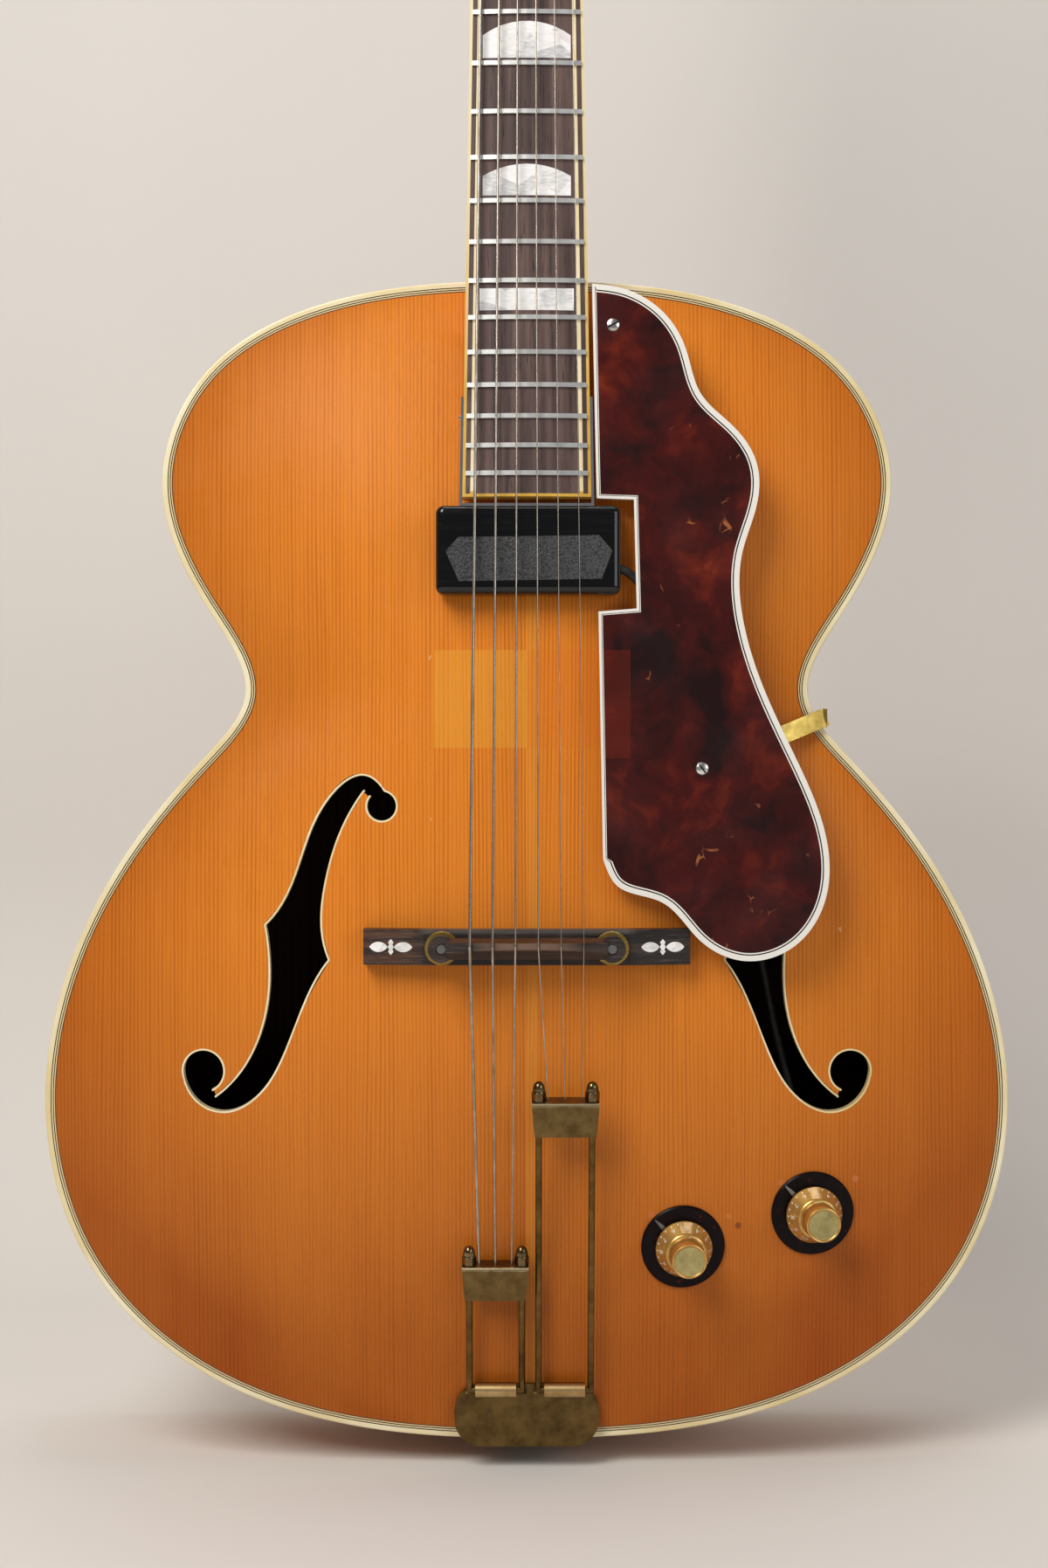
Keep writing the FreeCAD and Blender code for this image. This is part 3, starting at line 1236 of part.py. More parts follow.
def write_pieces():
    """Checks every object and writes each piece to its own file."""
    doc.recompute()
    failed = [item.Label for item in doc.Objects if "Invalid" in item.State or "Error" in item.State]
    failed += [item.Label for item in PIECES if item.Shape.isNull() or not item.Shape.isValid()]
    if failed:
        raise SystemExit("failed pieces: " + ", ".join(failed))
    os.makedirs("parts", exist_ok=True)
    for item in PIECES:
        item.Shape.exportStep(f"parts/{item.Label}.step")
    print(len(PIECES), "pieces written")


build_all()
write_pieces()
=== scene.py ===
# %% [markdown]
# # An archtop guitar, dressed over its CAD frame
# The frame holds every wooden and metal piece at its real size. This lesson adds the finishes, and rebuilds
# the pieces whose smooth curves, plies or windings need a finer surface than the frame has.

# %% Load the frame and keep its box
import math
import bmesh
import bpy
import numpy as np
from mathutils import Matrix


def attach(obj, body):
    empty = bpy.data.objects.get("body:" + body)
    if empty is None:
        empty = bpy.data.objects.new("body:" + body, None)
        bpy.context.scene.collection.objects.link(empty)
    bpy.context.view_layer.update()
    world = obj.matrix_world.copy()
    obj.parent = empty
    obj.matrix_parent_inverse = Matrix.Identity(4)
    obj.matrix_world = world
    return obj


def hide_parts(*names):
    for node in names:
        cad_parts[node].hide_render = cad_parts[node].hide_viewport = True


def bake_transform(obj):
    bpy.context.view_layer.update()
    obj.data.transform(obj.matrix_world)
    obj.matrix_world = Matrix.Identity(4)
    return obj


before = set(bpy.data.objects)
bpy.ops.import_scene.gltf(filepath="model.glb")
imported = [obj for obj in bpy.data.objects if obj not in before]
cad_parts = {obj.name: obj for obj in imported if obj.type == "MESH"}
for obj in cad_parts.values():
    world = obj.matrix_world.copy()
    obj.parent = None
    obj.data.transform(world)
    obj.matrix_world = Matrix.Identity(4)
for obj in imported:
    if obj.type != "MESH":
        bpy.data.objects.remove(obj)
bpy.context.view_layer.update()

# %% [markdown]
# ## The camera
# The photograph looks straight at the front, from about a metre away, so near things such as the knobs lean
# outwards. A 50 mm lens at that distance gives the same perspective. The top of the neck is out of the
# picture.

# %% Camera
MM = 0.001
CAMERA_SPOT = (-1.2, -1013.0, 291.6)


def linked(name, data):
    """A new object at the origin, linked to the scene."""
    item = bpy.data.objects.new(name, data)
    bpy.context.collection.objects.link(item)
    return item


camera = linked("camera", bpy.data.cameras.new("camera"))
camera.data.lens = 50
camera.data.sensor_width = 36
camera.location = [value * MM for value in CAMERA_SPOT]
camera.rotation_euler = (math.radians(90), 0, 0)
bpy.context.scene.camera = camera
bpy.context.scene.view_settings.view_transform = "Standard"
print("camera at", CAMERA_SPOT, "millimetres")

# %% [markdown]
# ## Surfaces from arrays
# Each new piece is a grid of points worked out as whole arrays. One helper turns such a grid into a mesh:
# it joins each point to its neighbours, closes the grid where asked, merges the poles and turns all faces
# outwards.

# %% A grid of points becomes a piece
SHARP_ANGLE = math.radians(32)
SAME_POINT = 1e-6


def unit(vectors):
    """Each vector at length one."""
    return vectors / np.linalg.norm(vectors, axis=-1, keepdims=True)


def full_turn(sides):
    """Angles evenly round a circle."""
    return np.linspace(0, 2 * np.pi, sides, endpoint=False)


def leaned(points, lean):
    """Points turned about X: (x, y cos - z sin, y sin + z cos)."""
    x, y, z = np.moveaxis(np.asarray(points, float), -1, 0)
    return np.stack([x, y * math.cos(lean) - z * math.sin(lean), y * math.sin(lean) + z * math.cos(lean)], -1)


def face_outwards(mesh):
    """Merges points that coincide, then turns every face to the outside."""
    work = bmesh.new()
    work.from_mesh(mesh)
    bmesh.ops.remove_doubles(work, verts=work.verts, dist=SAME_POINT)
    bmesh.ops.recalc_face_normals(work, faces=work.faces)
    work.to_mesh(mesh)
    work.free()


def smooth(mesh):
    """Soft shading, with a crisp edge where two faces meet at more than the sharp angle."""
    mesh.shade_smooth()
    mesh.set_sharp_from_angle(angle=SHARP_ANGLE)


def new_mesh(name, points, faces):
    """A mesh from points in millimetres."""
    mesh = bpy.data.meshes.new(name)
    mesh.from_pydata((points.reshape(-1, 3) * MM).tolist(), [], faces)
    return mesh


def write_uv(mesh, pairs):
    """Keeps one UV pair for each corner of each face."""
    layer = mesh.uv_layers.new(name="UVMap")
    layer.data.foreach_set("uv", np.asarray(pairs, np.float32).reshape(-1))


def cell_corners(table):
    """The four corners of every cell in a table of rows and columns."""
    return [table[:-1, :-1], table[1:, :-1], table[1:, 1:], table[:-1, 1:]]


def grid_mesh(name, points, close_rows=False, close_columns=False, uv=None):
    """Joins points[row, column] in millimetres into quads; uv has a pair per point, and any closing copy."""
    rows, columns = points.shape[:2]
    index = np.arange(rows * columns).reshape(rows, columns)
    if close_rows:
        index = np.vstack([index, index[:1]])
    if close_columns:
        index = np.hstack([index, index[:, :1]])
    mesh = new_mesh(name, points, np.stack(cell_corners(index), -1).reshape(-1, 4).tolist())
    if uv is not None:
        write_uv(mesh, np.stack(cell_corners(uv), 2))
    face_outwards(mesh)
    smooth(mesh)
    return mesh


def piece(name, mesh, material, body="guitar", stands_for=()):
    """Links a mesh as an object; it moves with a body, unless it is given none, and may stand for nodes."""
    item = linked(name, mesh)
    mesh.materials.clear()
    mesh.materials.append(material)
    if body:
        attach(item, body)
    if stands_for:
        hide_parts(*stands_for)
    return item


# %% [markdown]
# ## Node helpers
# A finish is a small tree of nodes. The methods below add one node each, and take numbers, colours or the
# output of another node. A Group is an effect that several finishes share, and a Finish is a material.


# %% Short ways to add nodes
def rgb(red, green, blue):
    """A colour read off a screen, as the linear values that a shader uses."""
    part = np.array([red, green, blue]) / 255
    linear = np.where(part <= 0.04045, part / 12.92, ((part + 0.055) / 1.055) ** 2.4)
    return (*linear.tolist(), 1.0)


class Nodes:
    """Adds nodes to one tree; spot is the place that its textures read."""

    def __init__(self, tree):
        self.tree = tree
        self.spot = None

    def feed(self, sockets, values):
        """Links sockets to outputs, or sets their values; keys are numbers, or names with _ for a space."""
        for key, value in values.items():
            socket = sockets[key.replace("_", " ") if isinstance(key, str) else key]
            if isinstance(value, bpy.types.NodeSocket):
                self.tree.links.new(value, socket)
            else:
                socket.default_value = value

    def add(self, kind, settings=None, values=(), **inputs):
        """A shader node; settings are its properties, and values feed its first sockets."""
        node = self.tree.nodes.new("ShaderNode" + kind)
        for key, value in (settings or {}).items():
            setattr(node, key, value)
        self.feed(node.inputs, {**dict(enumerate(values)), **inputs})
        return node

    def calc(self, operation, *values):
        """One operation on numbers."""
        return self.add("Math", {"operation": operation}, values).outputs[0]

    def vector(self, operation, *values):
        """The outputs of one operation on vectors."""
        return self.add("VectorMath", {"operation": operation}, values).outputs

    def times(self, first, second):
        """A product."""
        return self.calc("MULTIPLY", first, second)

    def band(self, value, middle, half):
        """One where a value is within half of the middle, else nothing."""
        return self.calc("COMPARE", value, middle, half)

    def span(self, value, low, high, first=0.0, last=1.0):
        """Stretches low..high to first..last, held at both ends."""
        return self.add("MapRange", None, (value, low, high, first, last)).outputs[0]

    def ramp(self, factor, stops):
        """Colours at places from 0 to 1, blended between."""
        node = self.add("ValToRGB", Fac=factor)
        band = node.color_ramp
        while len(band.elements) < len(stops):
            band.elements.new(0.5)
        for element, (place, colour) in zip(band.elements, stops):
            element.position = place
            element.color = colour
        return node.outputs[0]

    def mix(self, share, first, second):
        """Mixes two colours by a share."""
        node = self.add("Mix", {"data_type": "RGBA"})
        self.feed(node.inputs, {0: share, 6: first, 7: second})
        return node.outputs[2]

    def tint(self, colour, mask, strength, tone):
        """Lays a tone over a colour where a mask is, at a strength."""
        return self.mix(self.times(mask, strength), colour, tone)

    def stretched(self, vector, scale):
        """A vector with each direction scaled by its own number."""
        return self.vector("MULTIPLY", vector, scale)[0]

    def noise(self, vector, scale, detail=3.0, rough=0.5):
        """Smooth random values from 0 to 1."""
        return self.add("TexNoise", Vector=vector, Scale=scale, Detail=detail, Roughness=rough).outputs[0]

    def streaks(self, scale, detail=3.0, vector=None):
        """Noise with its own scale in each direction."""
        place = self.spot if vector is None else vector
        return self.noise(self.stretched(place, scale), 1.0, detail)

    def parts(self, vector):
        """The three parts of a vector."""
        return self.add("SeparateXYZ", Vector=vector).outputs

    def bumped(self, height, strength, distance):
        """A normal tilted by a height map."""
        return self.add("Bump", Height=height, Strength=strength, Distance=distance).outputs[0]


class Group(Nodes):
    """A shader node group: it is given a Spot and named values, and puts out named values."""

    def __init__(self, name, inputs, outputs):
        super().__init__(bpy.data.node_groups.new(name, "ShaderNodeTree"))
        self.tree.interface.new_socket("Spot", in_out="INPUT", socket_type="NodeSocketVector")
        for label, default in inputs.items():
            socket = self.tree.interface.new_socket(label, in_out="INPUT", socket_type="NodeSocketFloat")
            socket.default_value = default
        for label in outputs:
            self.tree.interface.new_socket(label, in_out="OUTPUT", socket_type="NodeSocketFloat")
        self.given = self.tree.nodes.new("NodeGroupInput").outputs
        self.out = self.tree.nodes.new("NodeGroupOutput").inputs
        self.spot = self.given["Spot"]

    def done(self, **values):
        """Feeds the outputs and gives the group."""
        self.feed(self.out, values)
        return self.tree


class Finish(Nodes):
    """A material with one Principled shader, whose sockets the values set; it reads object coordinates."""

    def __init__(self, name, **values):
        self.material = bpy.data.materials.new(name)
        self.material.use_nodes = True
        super().__init__(self.material.node_tree)
        self.shader = self.tree.nodes["Principled BSDF"].inputs
        self.feed(self.shader, values)
        self.spot = self.add("TexCoord").outputs["Object"]
        self.x, self.y, self.z = self.parts(self.spot)

    def use(self, group, **inputs):
        """Places a group with its own values, and gives its outputs."""
        node = self.add("Group", {"node_tree": group})
        self.feed(node.inputs, {"Spot": self.spot, **inputs})
        return node.outputs

    def kept(self, name):
        """A value that the mesh keeps at each of its points."""
        return self.add("Attribute", {"attribute_name": name}).outputs["Fac"]

    def uv(self, axis):
        """One part of the mesh's own UV map."""
        return self.parts(self.add("UVMap").outputs[0])[axis]

    def mirrored(self):
        """The place, with the bass half a mirror of the treble half."""
        return self.add("CombineXYZ", X=self.calc("ABSOLUTE", self.x), Y=self.y, Z=self.z).outputs[0]

    def done(self, **values):
        """Feeds the shader and gives the material."""
        self.feed(self.shader, values)
        return self.material


# %% [markdown]
# ## Effects that several finishes share
# Straight grain, small dents and tarnish are each a node group. A group gives out only masks and values,
# and each finish picks its own colours for them.


# %% Straight grain, dents and tarnish
def make_grain():
    """Year lines across X, long along Z: bands bent by a slow noise, with fine fibres between them."""
    n = Group("straight_grain", {"Line Step": 0.0017, "Wander": 0.0012}, ["Lines", "Fibres", "Clouds"])
    slow = n.streaks((26, 10, 2.2), 2.0)
    drift = n.times(n.calc("SUBTRACT", slow, 0.5), n.times(n.given["Wander"], 7.0))
    across = n.calc("ADD", n.parts(n.spot)[0], drift)
    turn = n.times(n.calc("DIVIDE", across, n.given["Line Step"]), 2 * math.pi)
    wave = n.calc("MULTIPLY_ADD", n.calc("SINE", turn), 0.5, 0.5)
    depth = n.span(n.streaks((330, 40, 6), 2.0), 0.3, 0.7, 0.25, 1.0)
    lines = n.times(n.calc("POWER", wave, 2.6), depth)
    return n.done(Lines=lines, Fibres=n.streaks((2600, 900, 28)), Clouds=n.streaks((14, 14, 5)))


def make_dents():
    """Rare small marks: random cells, a few of them picked, each a short streak."""
    n = Group("small_dents", {"Cells": 70.0, "Rarity": 0.9, "Reach": 0.12}, ["Mask", "Scuff"])
    wobble = n.add("TexNoise", Vector=n.spot, Scale=240.0).outputs["Color"]
    bent = n.vector("ADD", n.stretched(n.spot, (1.6, 0.2, 0.7)), n.stretched(wobble, (0.006, 0.0, 0.006)))[0]
    cells = n.add("TexVoronoi", Vector=bent, Scale=n.given["Cells"]).outputs
    near = n.calc("LESS_THAN", cells["Distance"], n.given["Reach"])
    pick = n.add("SeparateColor", Color=cells["Color"]).outputs[0]
    picked = n.calc("GREATER_THAN", pick, n.given["Rarity"])
    return n.done(Mask=n.times(near, picked), Scuff=n.noise(n.spot, 60.0, 6.0, 0.7))


def make_tarnish():
    """Cloudy dulling of metal, with finer specks."""
    n = Group("tarnish", {"Size": 90.0}, ["Dull", "Specks"])
    clouds = n.noise(n.spot, n.given["Size"], 5.0, 0.65)
    fine = n.noise(n.spot, n.times(n.given["Size"], 14.0), 3.0, 0.6)
    return n.done(Dull=n.span(clouds, 0.35, 0.7), Specks=n.span(fine, 0.58, 0.75))


GRAIN = make_grain()
DENTS = make_dents()
TARNISH = make_tarnish()
print("shared effects:", GRAIN.name, DENTS.name, TARNISH.name)

# %% [markdown]
# ## The woods
# The spruce top is amber with fine year lines, matched in two mirrored halves, toasted towards its edges
# and lower end. A paler rectangle between pickup and bridge looks like an old opening that was filled.
# It is a tint here, so the year lines run on through it. Nodes draw all the grain, because a picture of
# wood would need a file of its own.

# %% Spruce top
# Filled screw holes near the controls: place across and up, radius, colour
PLUGS = [((112.5, 115.6), 1.5, rgb(205, 120, 60)), ((145.7, 116.7), 1.4, rgb(205, 125, 70)),
         ((54.9, 102.1), 1.5, rgb(200, 115, 60)), ((89.0, 101.0), 1.3, rgb(205, 125, 65)),
         ((93.3, 96.8), 1.4, rgb(90, 45, 15))]
# The paler rectangle in metres: middle and half height; each side's middle and half width, strength, tone
INFILL_TALL = (0.3288, 0.0214)
INFILL_SIDES = [((-0.0202, 0.0203), 0.42, rgb(230, 162, 58)),
                ((0.0240, 0.0238), 0.25, rgb(216, 112, 34))]
SEAM = (0.0022, 0.0026)


def make_spruce():
    """Amber spruce: mirrored grain, a toasted margin from an attribute, a paler infill and small marks."""
    n = Finish("amber_spruce", Specular_IOR_Level=0.16, Coat_Weight=0.05, Coat_Roughness=0.16)
    grain = n.use(GRAIN, Spot=n.mirrored(), Line_Step=0.00175, Wander=0.0011)
    toast = n.kept("toast")
    pale = n.mix(toast, rgb(226, 132, 42), rgb(152, 64, 6))
    deep = n.mix(toast, rgb(166, 74, 12), rgb(100, 36, 2))
    colour = n.tint(pale, grain["Lines"], 0.7, deep)
    colour = n.tint(colour, n.span(grain["Clouds"], 0.3, 0.7), 0.2, rgb(236, 152, 56))
    colour = n.mix(n.span(grain["Fibres"], 0.45, 0.75, 0.0, 0.16), colour, rgb(120, 55, 15))
    colour = n.tint(colour, n.band(n.x, *SEAM), 0.22, rgb(244, 172, 70))
    tall = n.band(n.z, *INFILL_TALL)
    for wide, strength, tone in INFILL_SIDES:
        colour = n.tint(colour, n.times(tall, n.band(n.x, *wide)), strength, tone)
    marks = n.use(DENTS, Cells=62.0, Rarity=0.93, Reach=0.055)
    colour = n.tint(colour, marks["Mask"], 0.55, rgb(240, 196, 140))
    for (across, up), size, tone in PLUGS:
        gap = n.vector("DISTANCE", n.stretched(n.spot, (1, 0, 1)), (across * MM, 0, up * MM))["Value"]
        colour = n.tint(colour, n.calc("LESS_THAN", gap, size * MM), 0.6, tone)
    height = n.calc("ADD", n.times(grain["Lines"], 0.5), n.times(marks["Mask"], -3.0))
    return n.done(Base_Color=colour, Roughness=n.span(marks["Scuff"], 0.3, 0.75, 0.2, 0.42),
                  Normal=n.bumped(height, 0.12, 0.0002))


# %% Maple, rosewood and ebony
# Places on the bridge in metres: the bass wing, the saddle's upper side, its half length and its crest; the
# upper side and the crest are painted lighter, as light and highlight
BROWN_END = (-0.044, -0.05)
LIT_UPPER_SIDE = (0.2262, 0.2275)
SADDLE_HALF = (0.048, 0.043)
CREST = (-0.0880, -0.0889)


def make_maple():
    """Amber maple, its two halves mirrored, with soft slanting flames that come and go across the grain."""
    n = Finish("amber_maple", Roughness=0.3, Coat_Roughness=0.08)
    grain = n.use(GRAIN, Line_Step=0.0046, Wander=0.002)
    halves = n.mirrored()
    bend = n.streaks((26, 26, 20), 3.0, halves)
    climb = n.calc("MULTIPLY_ADD", n.calc("ABSOLUTE", n.x), 190.0, n.times(n.z, 860.0))
    flame = n.span(n.calc("SINE", n.calc("MULTIPLY_ADD", bend, 22.0, climb)), -1.0, 1.0)
    shown = n.span(n.streaks((60, 60, 34), 3.0, halves), 0.36, 0.64, 0.12, 0.8)
    colour = n.mix(n.times(flame, shown), rgb(198, 116, 46), rgb(232, 160, 80))
    colour = n.tint(colour, grain["Lines"], 0.3, rgb(150, 76, 26))
    colour = n.mix(n.span(grain["Clouds"], 0.35, 0.7, 0.0, 0.25), colour, rgb(164, 84, 30))
    inside = n.kept("inside")
    # Painted shade: the back's inner face, inside the body, is painted near black-brown because little light
    # reaches it.
    colour = n.mix(inside, colour, n.mix(grain["Lines"], rgb(66, 42, 26), rgb(44, 28, 16)))
    return n.done(Base_Color=colour, Coat_Weight=n.span(inside, 0, 1, 0.5, 0),
                  Specular_IOR_Level=n.span(inside, 0, 1, 0.4, 0.03),
                  Normal=n.bumped(grain["Fibres"], 0.06, 0.0002))


def make_rosewood():
    """Greyed red-brown wood with dark open pores along the board."""
    n = Finish("rosewood", Specular_IOR_Level=0.4)
    bands = n.streaks((260, 60, 7), 4.0)
    colour = n.ramp(bands, [(0.3, rgb(58, 43, 41)), (0.5, rgb(86, 66, 62)), (0.72, rgb(114, 90, 84))])
    pores = n.span(n.streaks((2100, 300, 90), 2.0), 0.58, 0.7)
    return n.done(Base_Color=n.tint(colour, pores, 0.75, rgb(30, 20, 19)),
                  Roughness=n.span(bands, 0.3, 0.7, 0.42, 0.6), Normal=n.bumped(pores, -0.35, 0.0003))


def make_ebony():
    """Nearly black wood with brown streaks along X, a paler upper side as painted light and a painted
    highlight along the crest.
    """
    n = Finish("dark_bridge_wood", Specular_IOR_Level=0.45)
    bands = n.streaks((16, 90, 200), 5.0)
    colour = n.ramp(bands, [(0.35, rgb(25, 20, 19)), (0.55, rgb(38, 30, 27)), (0.72, rgb(62, 45, 37))])
    pores = n.span(n.streaks((60, 500, 1500), 2.0), 0.58, 0.7)
    colour = n.tint(colour, pores, 0.35, rgb(96, 84, 78))
    brown = n.times(n.span(n.x, *BROWN_END), n.span(bands, 0.4, 0.6))
    colour = n.tint(colour, brown, 0.7, rgb(92, 56, 34))
    # Painted light: the saddle's upper side, which faces the light, is painted a paler grey.
    upper = n.times(n.span(n.z, *LIT_UPPER_SIDE), n.span(n.calc("ABSOLUTE", n.x), *SADDLE_HALF))
    colour = n.tint(colour, upper, 0.45, rgb(120, 112, 106))
    # Painted highlight: a paler line along the saddle's crest.
    colour = n.tint(colour, n.span(n.y, *CREST), 0.5, rgb(150, 118, 96))
    return n.done(Base_Color=colour, Roughness=n.span(bands, 0.3, 0.7, 0.3, 0.5),
                  Normal=n.bumped(pores, 0.3, 0.0003))


def make_plain_wood():
    """Bare inner wood, as on linings and blocks."""
    n = Finish("bare_inner_wood", Roughness=0.7)
    grain = n.use(GRAIN, Line_Step=0.003, Wander=0.002)
    colour = n.mix(grain["Lines"], rgb(205, 170, 120), rgb(170, 128, 80))
    return n.done(Base_Color=colour, Normal=n.bumped(grain["Fibres"], 0.2, 0.0003))


SPRUCE = make_spruce()
MAPLE = make_maple()
ROSEWOOD = make_rosewood()
EBONY = make_ebony()
BARE_WOOD = make_plain_wood()
print("woods:", SPRUCE.name, MAPLE.name, ROSEWOOD.name, EBONY.name, BARE_WOOD.name)

# %% [markdown]
# ## Celluloid, pearl and black plastics
# Aged celluloid is cream, not white, and it yellows unevenly. The edge of the top has a cream ply and then
# five thin lines, which are drawn by the distance from the edge, kept in the piece's own UV map in
# millimetres.

# %% Celluloids
DARK_LINE = rgb(34, 28, 22)
PLY_WHITE = rgb(236, 232, 224)
# Lines by their distance from the edge in millimetres: from, to, colour
EDGE_PLIES = [(2.5, 2.95, DARK_LINE), (2.95, 3.5, rgb(226, 208, 160)), (3.5, 3.95, DARK_LINE),
              (3.95, 4.4, rgb(226, 200, 145)), (4.4, 4.9, rgb(92, 52, 22))]
GUARD_PLIES = [(-1, 2.4, PLY_WHITE), (2.4, 2.95, rgb(24, 18, 16)), (2.95, 3.5, PLY_WHITE)]
# The board in metres: upper end, half width there, widening, edge ply, lower end, where the edge pales
BOARD_TOP = 0.869
BOARD_HALF = 0.0215
BOARD_TAPER = 0.0141
BOARD_PLY = 0.0022
BOARD_END = 0.4182
BOARD_PALE = (0.46, 0.56)
# The guard's redder rectangle in metres: middle and half size, up and across
GUARD_INFILL = ((0.3262, 0.0235), (0.0375, 0.0075))


def with_lines(n, colour, lines):
    """Paints lines over a colour by the distance in the UV map."""
    inset = n.uv(1)
    for low, high, tone in lines:
        colour = n.mix(n.band(inset, (low + high) / 2, (high - low) / 2), colour, tone)
    return colour


def creamy(name, gloss, gloss_rough):
    """A celluloid's finish, its clouds and its clouded cream."""
    n = Finish(name, Coat_Weight=gloss, Coat_Roughness=gloss_rough)
    clouds = n.noise(n.spot, 22.0, 4.0)
    return n, clouds, n.mix(n.span(clouds, 0.35, 0.7), rgb(243, 232, 196), rgb(222, 199, 140))


def make_cream():
    """Aged cream celluloid with faint yellow clouds."""
    n, clouds, cream = creamy("aged_cream", 0.3, 0.12)
    grime = n.span(n.noise(n.spot, 160.0, 4.0, 0.7), 0.55, 0.8)
    return n.done(Base_Color=n.tint(cream, grime, 0.2, rgb(150, 120, 70)),
                  Roughness=n.span(clouds, 0.3, 0.7, 0.22, 0.4))


def make_edge_lines():
    """Cream outer ply, then thin dark and cream lines, by the distance from the edge."""
    n, clouds, cream = creamy("bound_edge", 0.4, 0.1)
    return n.done(Base_Color=with_lines(n, cream, EDGE_PLIES),
                  Roughness=n.span(clouds, 0.3, 0.7, 0.22, 0.38))


def make_board_edge():
    """Celluloid on the board's edges, amber near the body and paler above, and the ivory lines further in."""
    n = Finish("board_edge", Coat_Weight=0.3, Coat_Roughness=0.1)
    half = n.calc("MULTIPLY_ADD", n.calc("SUBTRACT", BOARD_TOP, n.z), BOARD_TAPER, BOARD_HALF)
    inner = n.calc("LESS_THAN", n.calc("ABSOLUTE", n.x), n.calc("SUBTRACT", half, BOARD_PLY))
    line = n.times(inner, n.calc("GREATER_THAN", n.z, BOARD_END))
    clouds = n.span(n.noise(n.spot, 60.0, 4.0), 0.3, 0.7)
    amber = n.mix(clouds, rgb(224, 184, 84), rgb(204, 156, 58))
    amber = n.mix(n.span(n.z, *BOARD_PALE), amber, rgb(232, 214, 166))
    ivory = n.mix(clouds, rgb(246, 232, 196), rgb(230, 208, 156))
    return n.done(Base_Color=n.mix(line, amber, ivory), Roughness=n.span(clouds, 0, 1, 0.22, 0.36))


def make_tortoise():
    """Mottled red-brown celluloid with orange clouds and small flecks; plies at its edge by distance."""
    n = Finish("tortoise", Coat_Weight=0.15, Coat_Roughness=0.06)
    flat = n.stretched(n.spot, (1, 0.2, 1))
    drift = n.add("TexNoise", Vector=flat, Scale=26.0, Detail=3.0).outputs["Color"]
    bent = n.vector("ADD", flat, n.stretched(drift, (0.03, 0.0, 0.03)))[0]
    colour = n.ramp(n.noise(bent, 34.0, 4.0, 0.6), [
        (0.36, rgb(30, 7, 6)), (0.54, rgb(66, 14, 9)), (0.66, rgb(98, 28, 12)), (0.8, rgb(150, 62, 22))])
    cracks = n.add("TexVoronoi", {"feature": "DISTANCE_TO_EDGE"}, Vector=bent, Scale=150.0).outputs[0]
    where = n.span(n.noise(n.spot, 75.0, 2.0), 0.66, 0.72)
    colour = n.tint(colour, n.times(n.calc("LESS_THAN", cracks, 0.028), where), 0.55, rgb(196, 116, 66))
    up, across = GUARD_INFILL
    colour = n.tint(colour, n.times(n.band(n.z, *up), n.band(n.x, *across)), 0.3, rgb(120, 34, 16))
    return n.done(Base_Color=with_lines(n, colour, GUARD_PLIES),
                  Roughness=n.span(n.noise(n.spot, 40.0, 5.0), 0.3, 0.75, 0.1, 0.3))


def make_pearl():
    """Shell: pale cells with a silky grain that shifts between cool and warm."""
    n = Finish("pearl", Coat_Weight=0.7, Coat_Roughness=0.06)
    cells = n.add("TexVoronoi", Vector=n.stretched(n.spot, (1, 0.1, 1.2)), Scale=95.0).outputs["Color"]
    pick = n.add("SeparateColor", Color=cells).outputs[0]
    silk = n.streaks((300, 60, 900))
    colour = n.ramp(n.calc("MULTIPLY_ADD", silk, 0.5, n.times(pick, 0.5)), [
        (0.2, rgb(198, 198, 200)), (0.42, rgb(240, 239, 236)), (0.6, rgb(251, 250, 250)),
        (0.78, rgb(232, 224, 220))])
    return n.done(Base_Color=colour, Roughness=n.span(silk, 0.3, 0.7, 0.12, 0.34))


def make_leather():
    """Charcoal pebbled leather, painted darker in the hollows between the pebbles as shade."""
    n = Finish("pebbled_leather", Roughness=0.55, Specular_IOR_Level=0.4)
    cells = n.add("TexVoronoi", {"feature": "SMOOTH_F1"}, Vector=n.spot, Scale=1150.0).outputs["Distance"]
    height = n.calc("SUBTRACT", n.times(n.noise(n.spot, 380.0), 0.6), cells)
    # Painted shade: the hollows between the pebbles, where the bump is low, are painted darker.
    colour = n.mix(n.span(cells, 0.1, 0.7), rgb(74, 74, 76), rgb(34, 34, 36))
    return n.done(Base_Color=colour, Normal=n.bumped(height, 0.8, 0.0005))


def two_tone(name, first, second, scale, detail, edges, rough=None, **values):
    """Two colours shared out by one noise: the second takes over between the edges, and rough may follow."""
    n = Finish(name, **values)
    pattern = n.streaks(scale, detail)
    if rough:
        n.done(Roughness=n.span(pattern, *rough))
    return n.done(Base_Color=n.mix(n.span(pattern, *edges), first, second))


CREAM = make_cream()
EDGE_LINES = make_edge_lines()
BOARD_EDGE = make_board_edge()
TORTOISE = make_tortoise()
PEARL = make_pearl()
LEATHER = make_leather()
BLACK = two_tone("gloss_black", rgb(6, 6, 7), rgb(16, 15, 16), (40, 900, 900), 4.0, (0.5, 0.8),
                 (0.4, 0.75, 0.08, 0.24), Specular_IOR_Level=0.5)
DISC_BLACK = two_tone("disc_black", rgb(16, 7, 9), rgb(66, 20, 14), (420, 420, 420), 2.0, (0.64, 0.72),
                      Roughness=0.3, Specular_IOR_Level=0.12)
RUBBER = two_tone("lead_rubber", rgb(14, 14, 15), rgb(44, 43, 43), (300, 300, 300), 4.0, (0.4, 0.8),
                  Roughness=0.6)
BONE = two_tone("bone", rgb(236, 226, 200), rgb(206, 186, 146), (120, 500, 500), 3.0, (0, 1), Roughness=0.35)

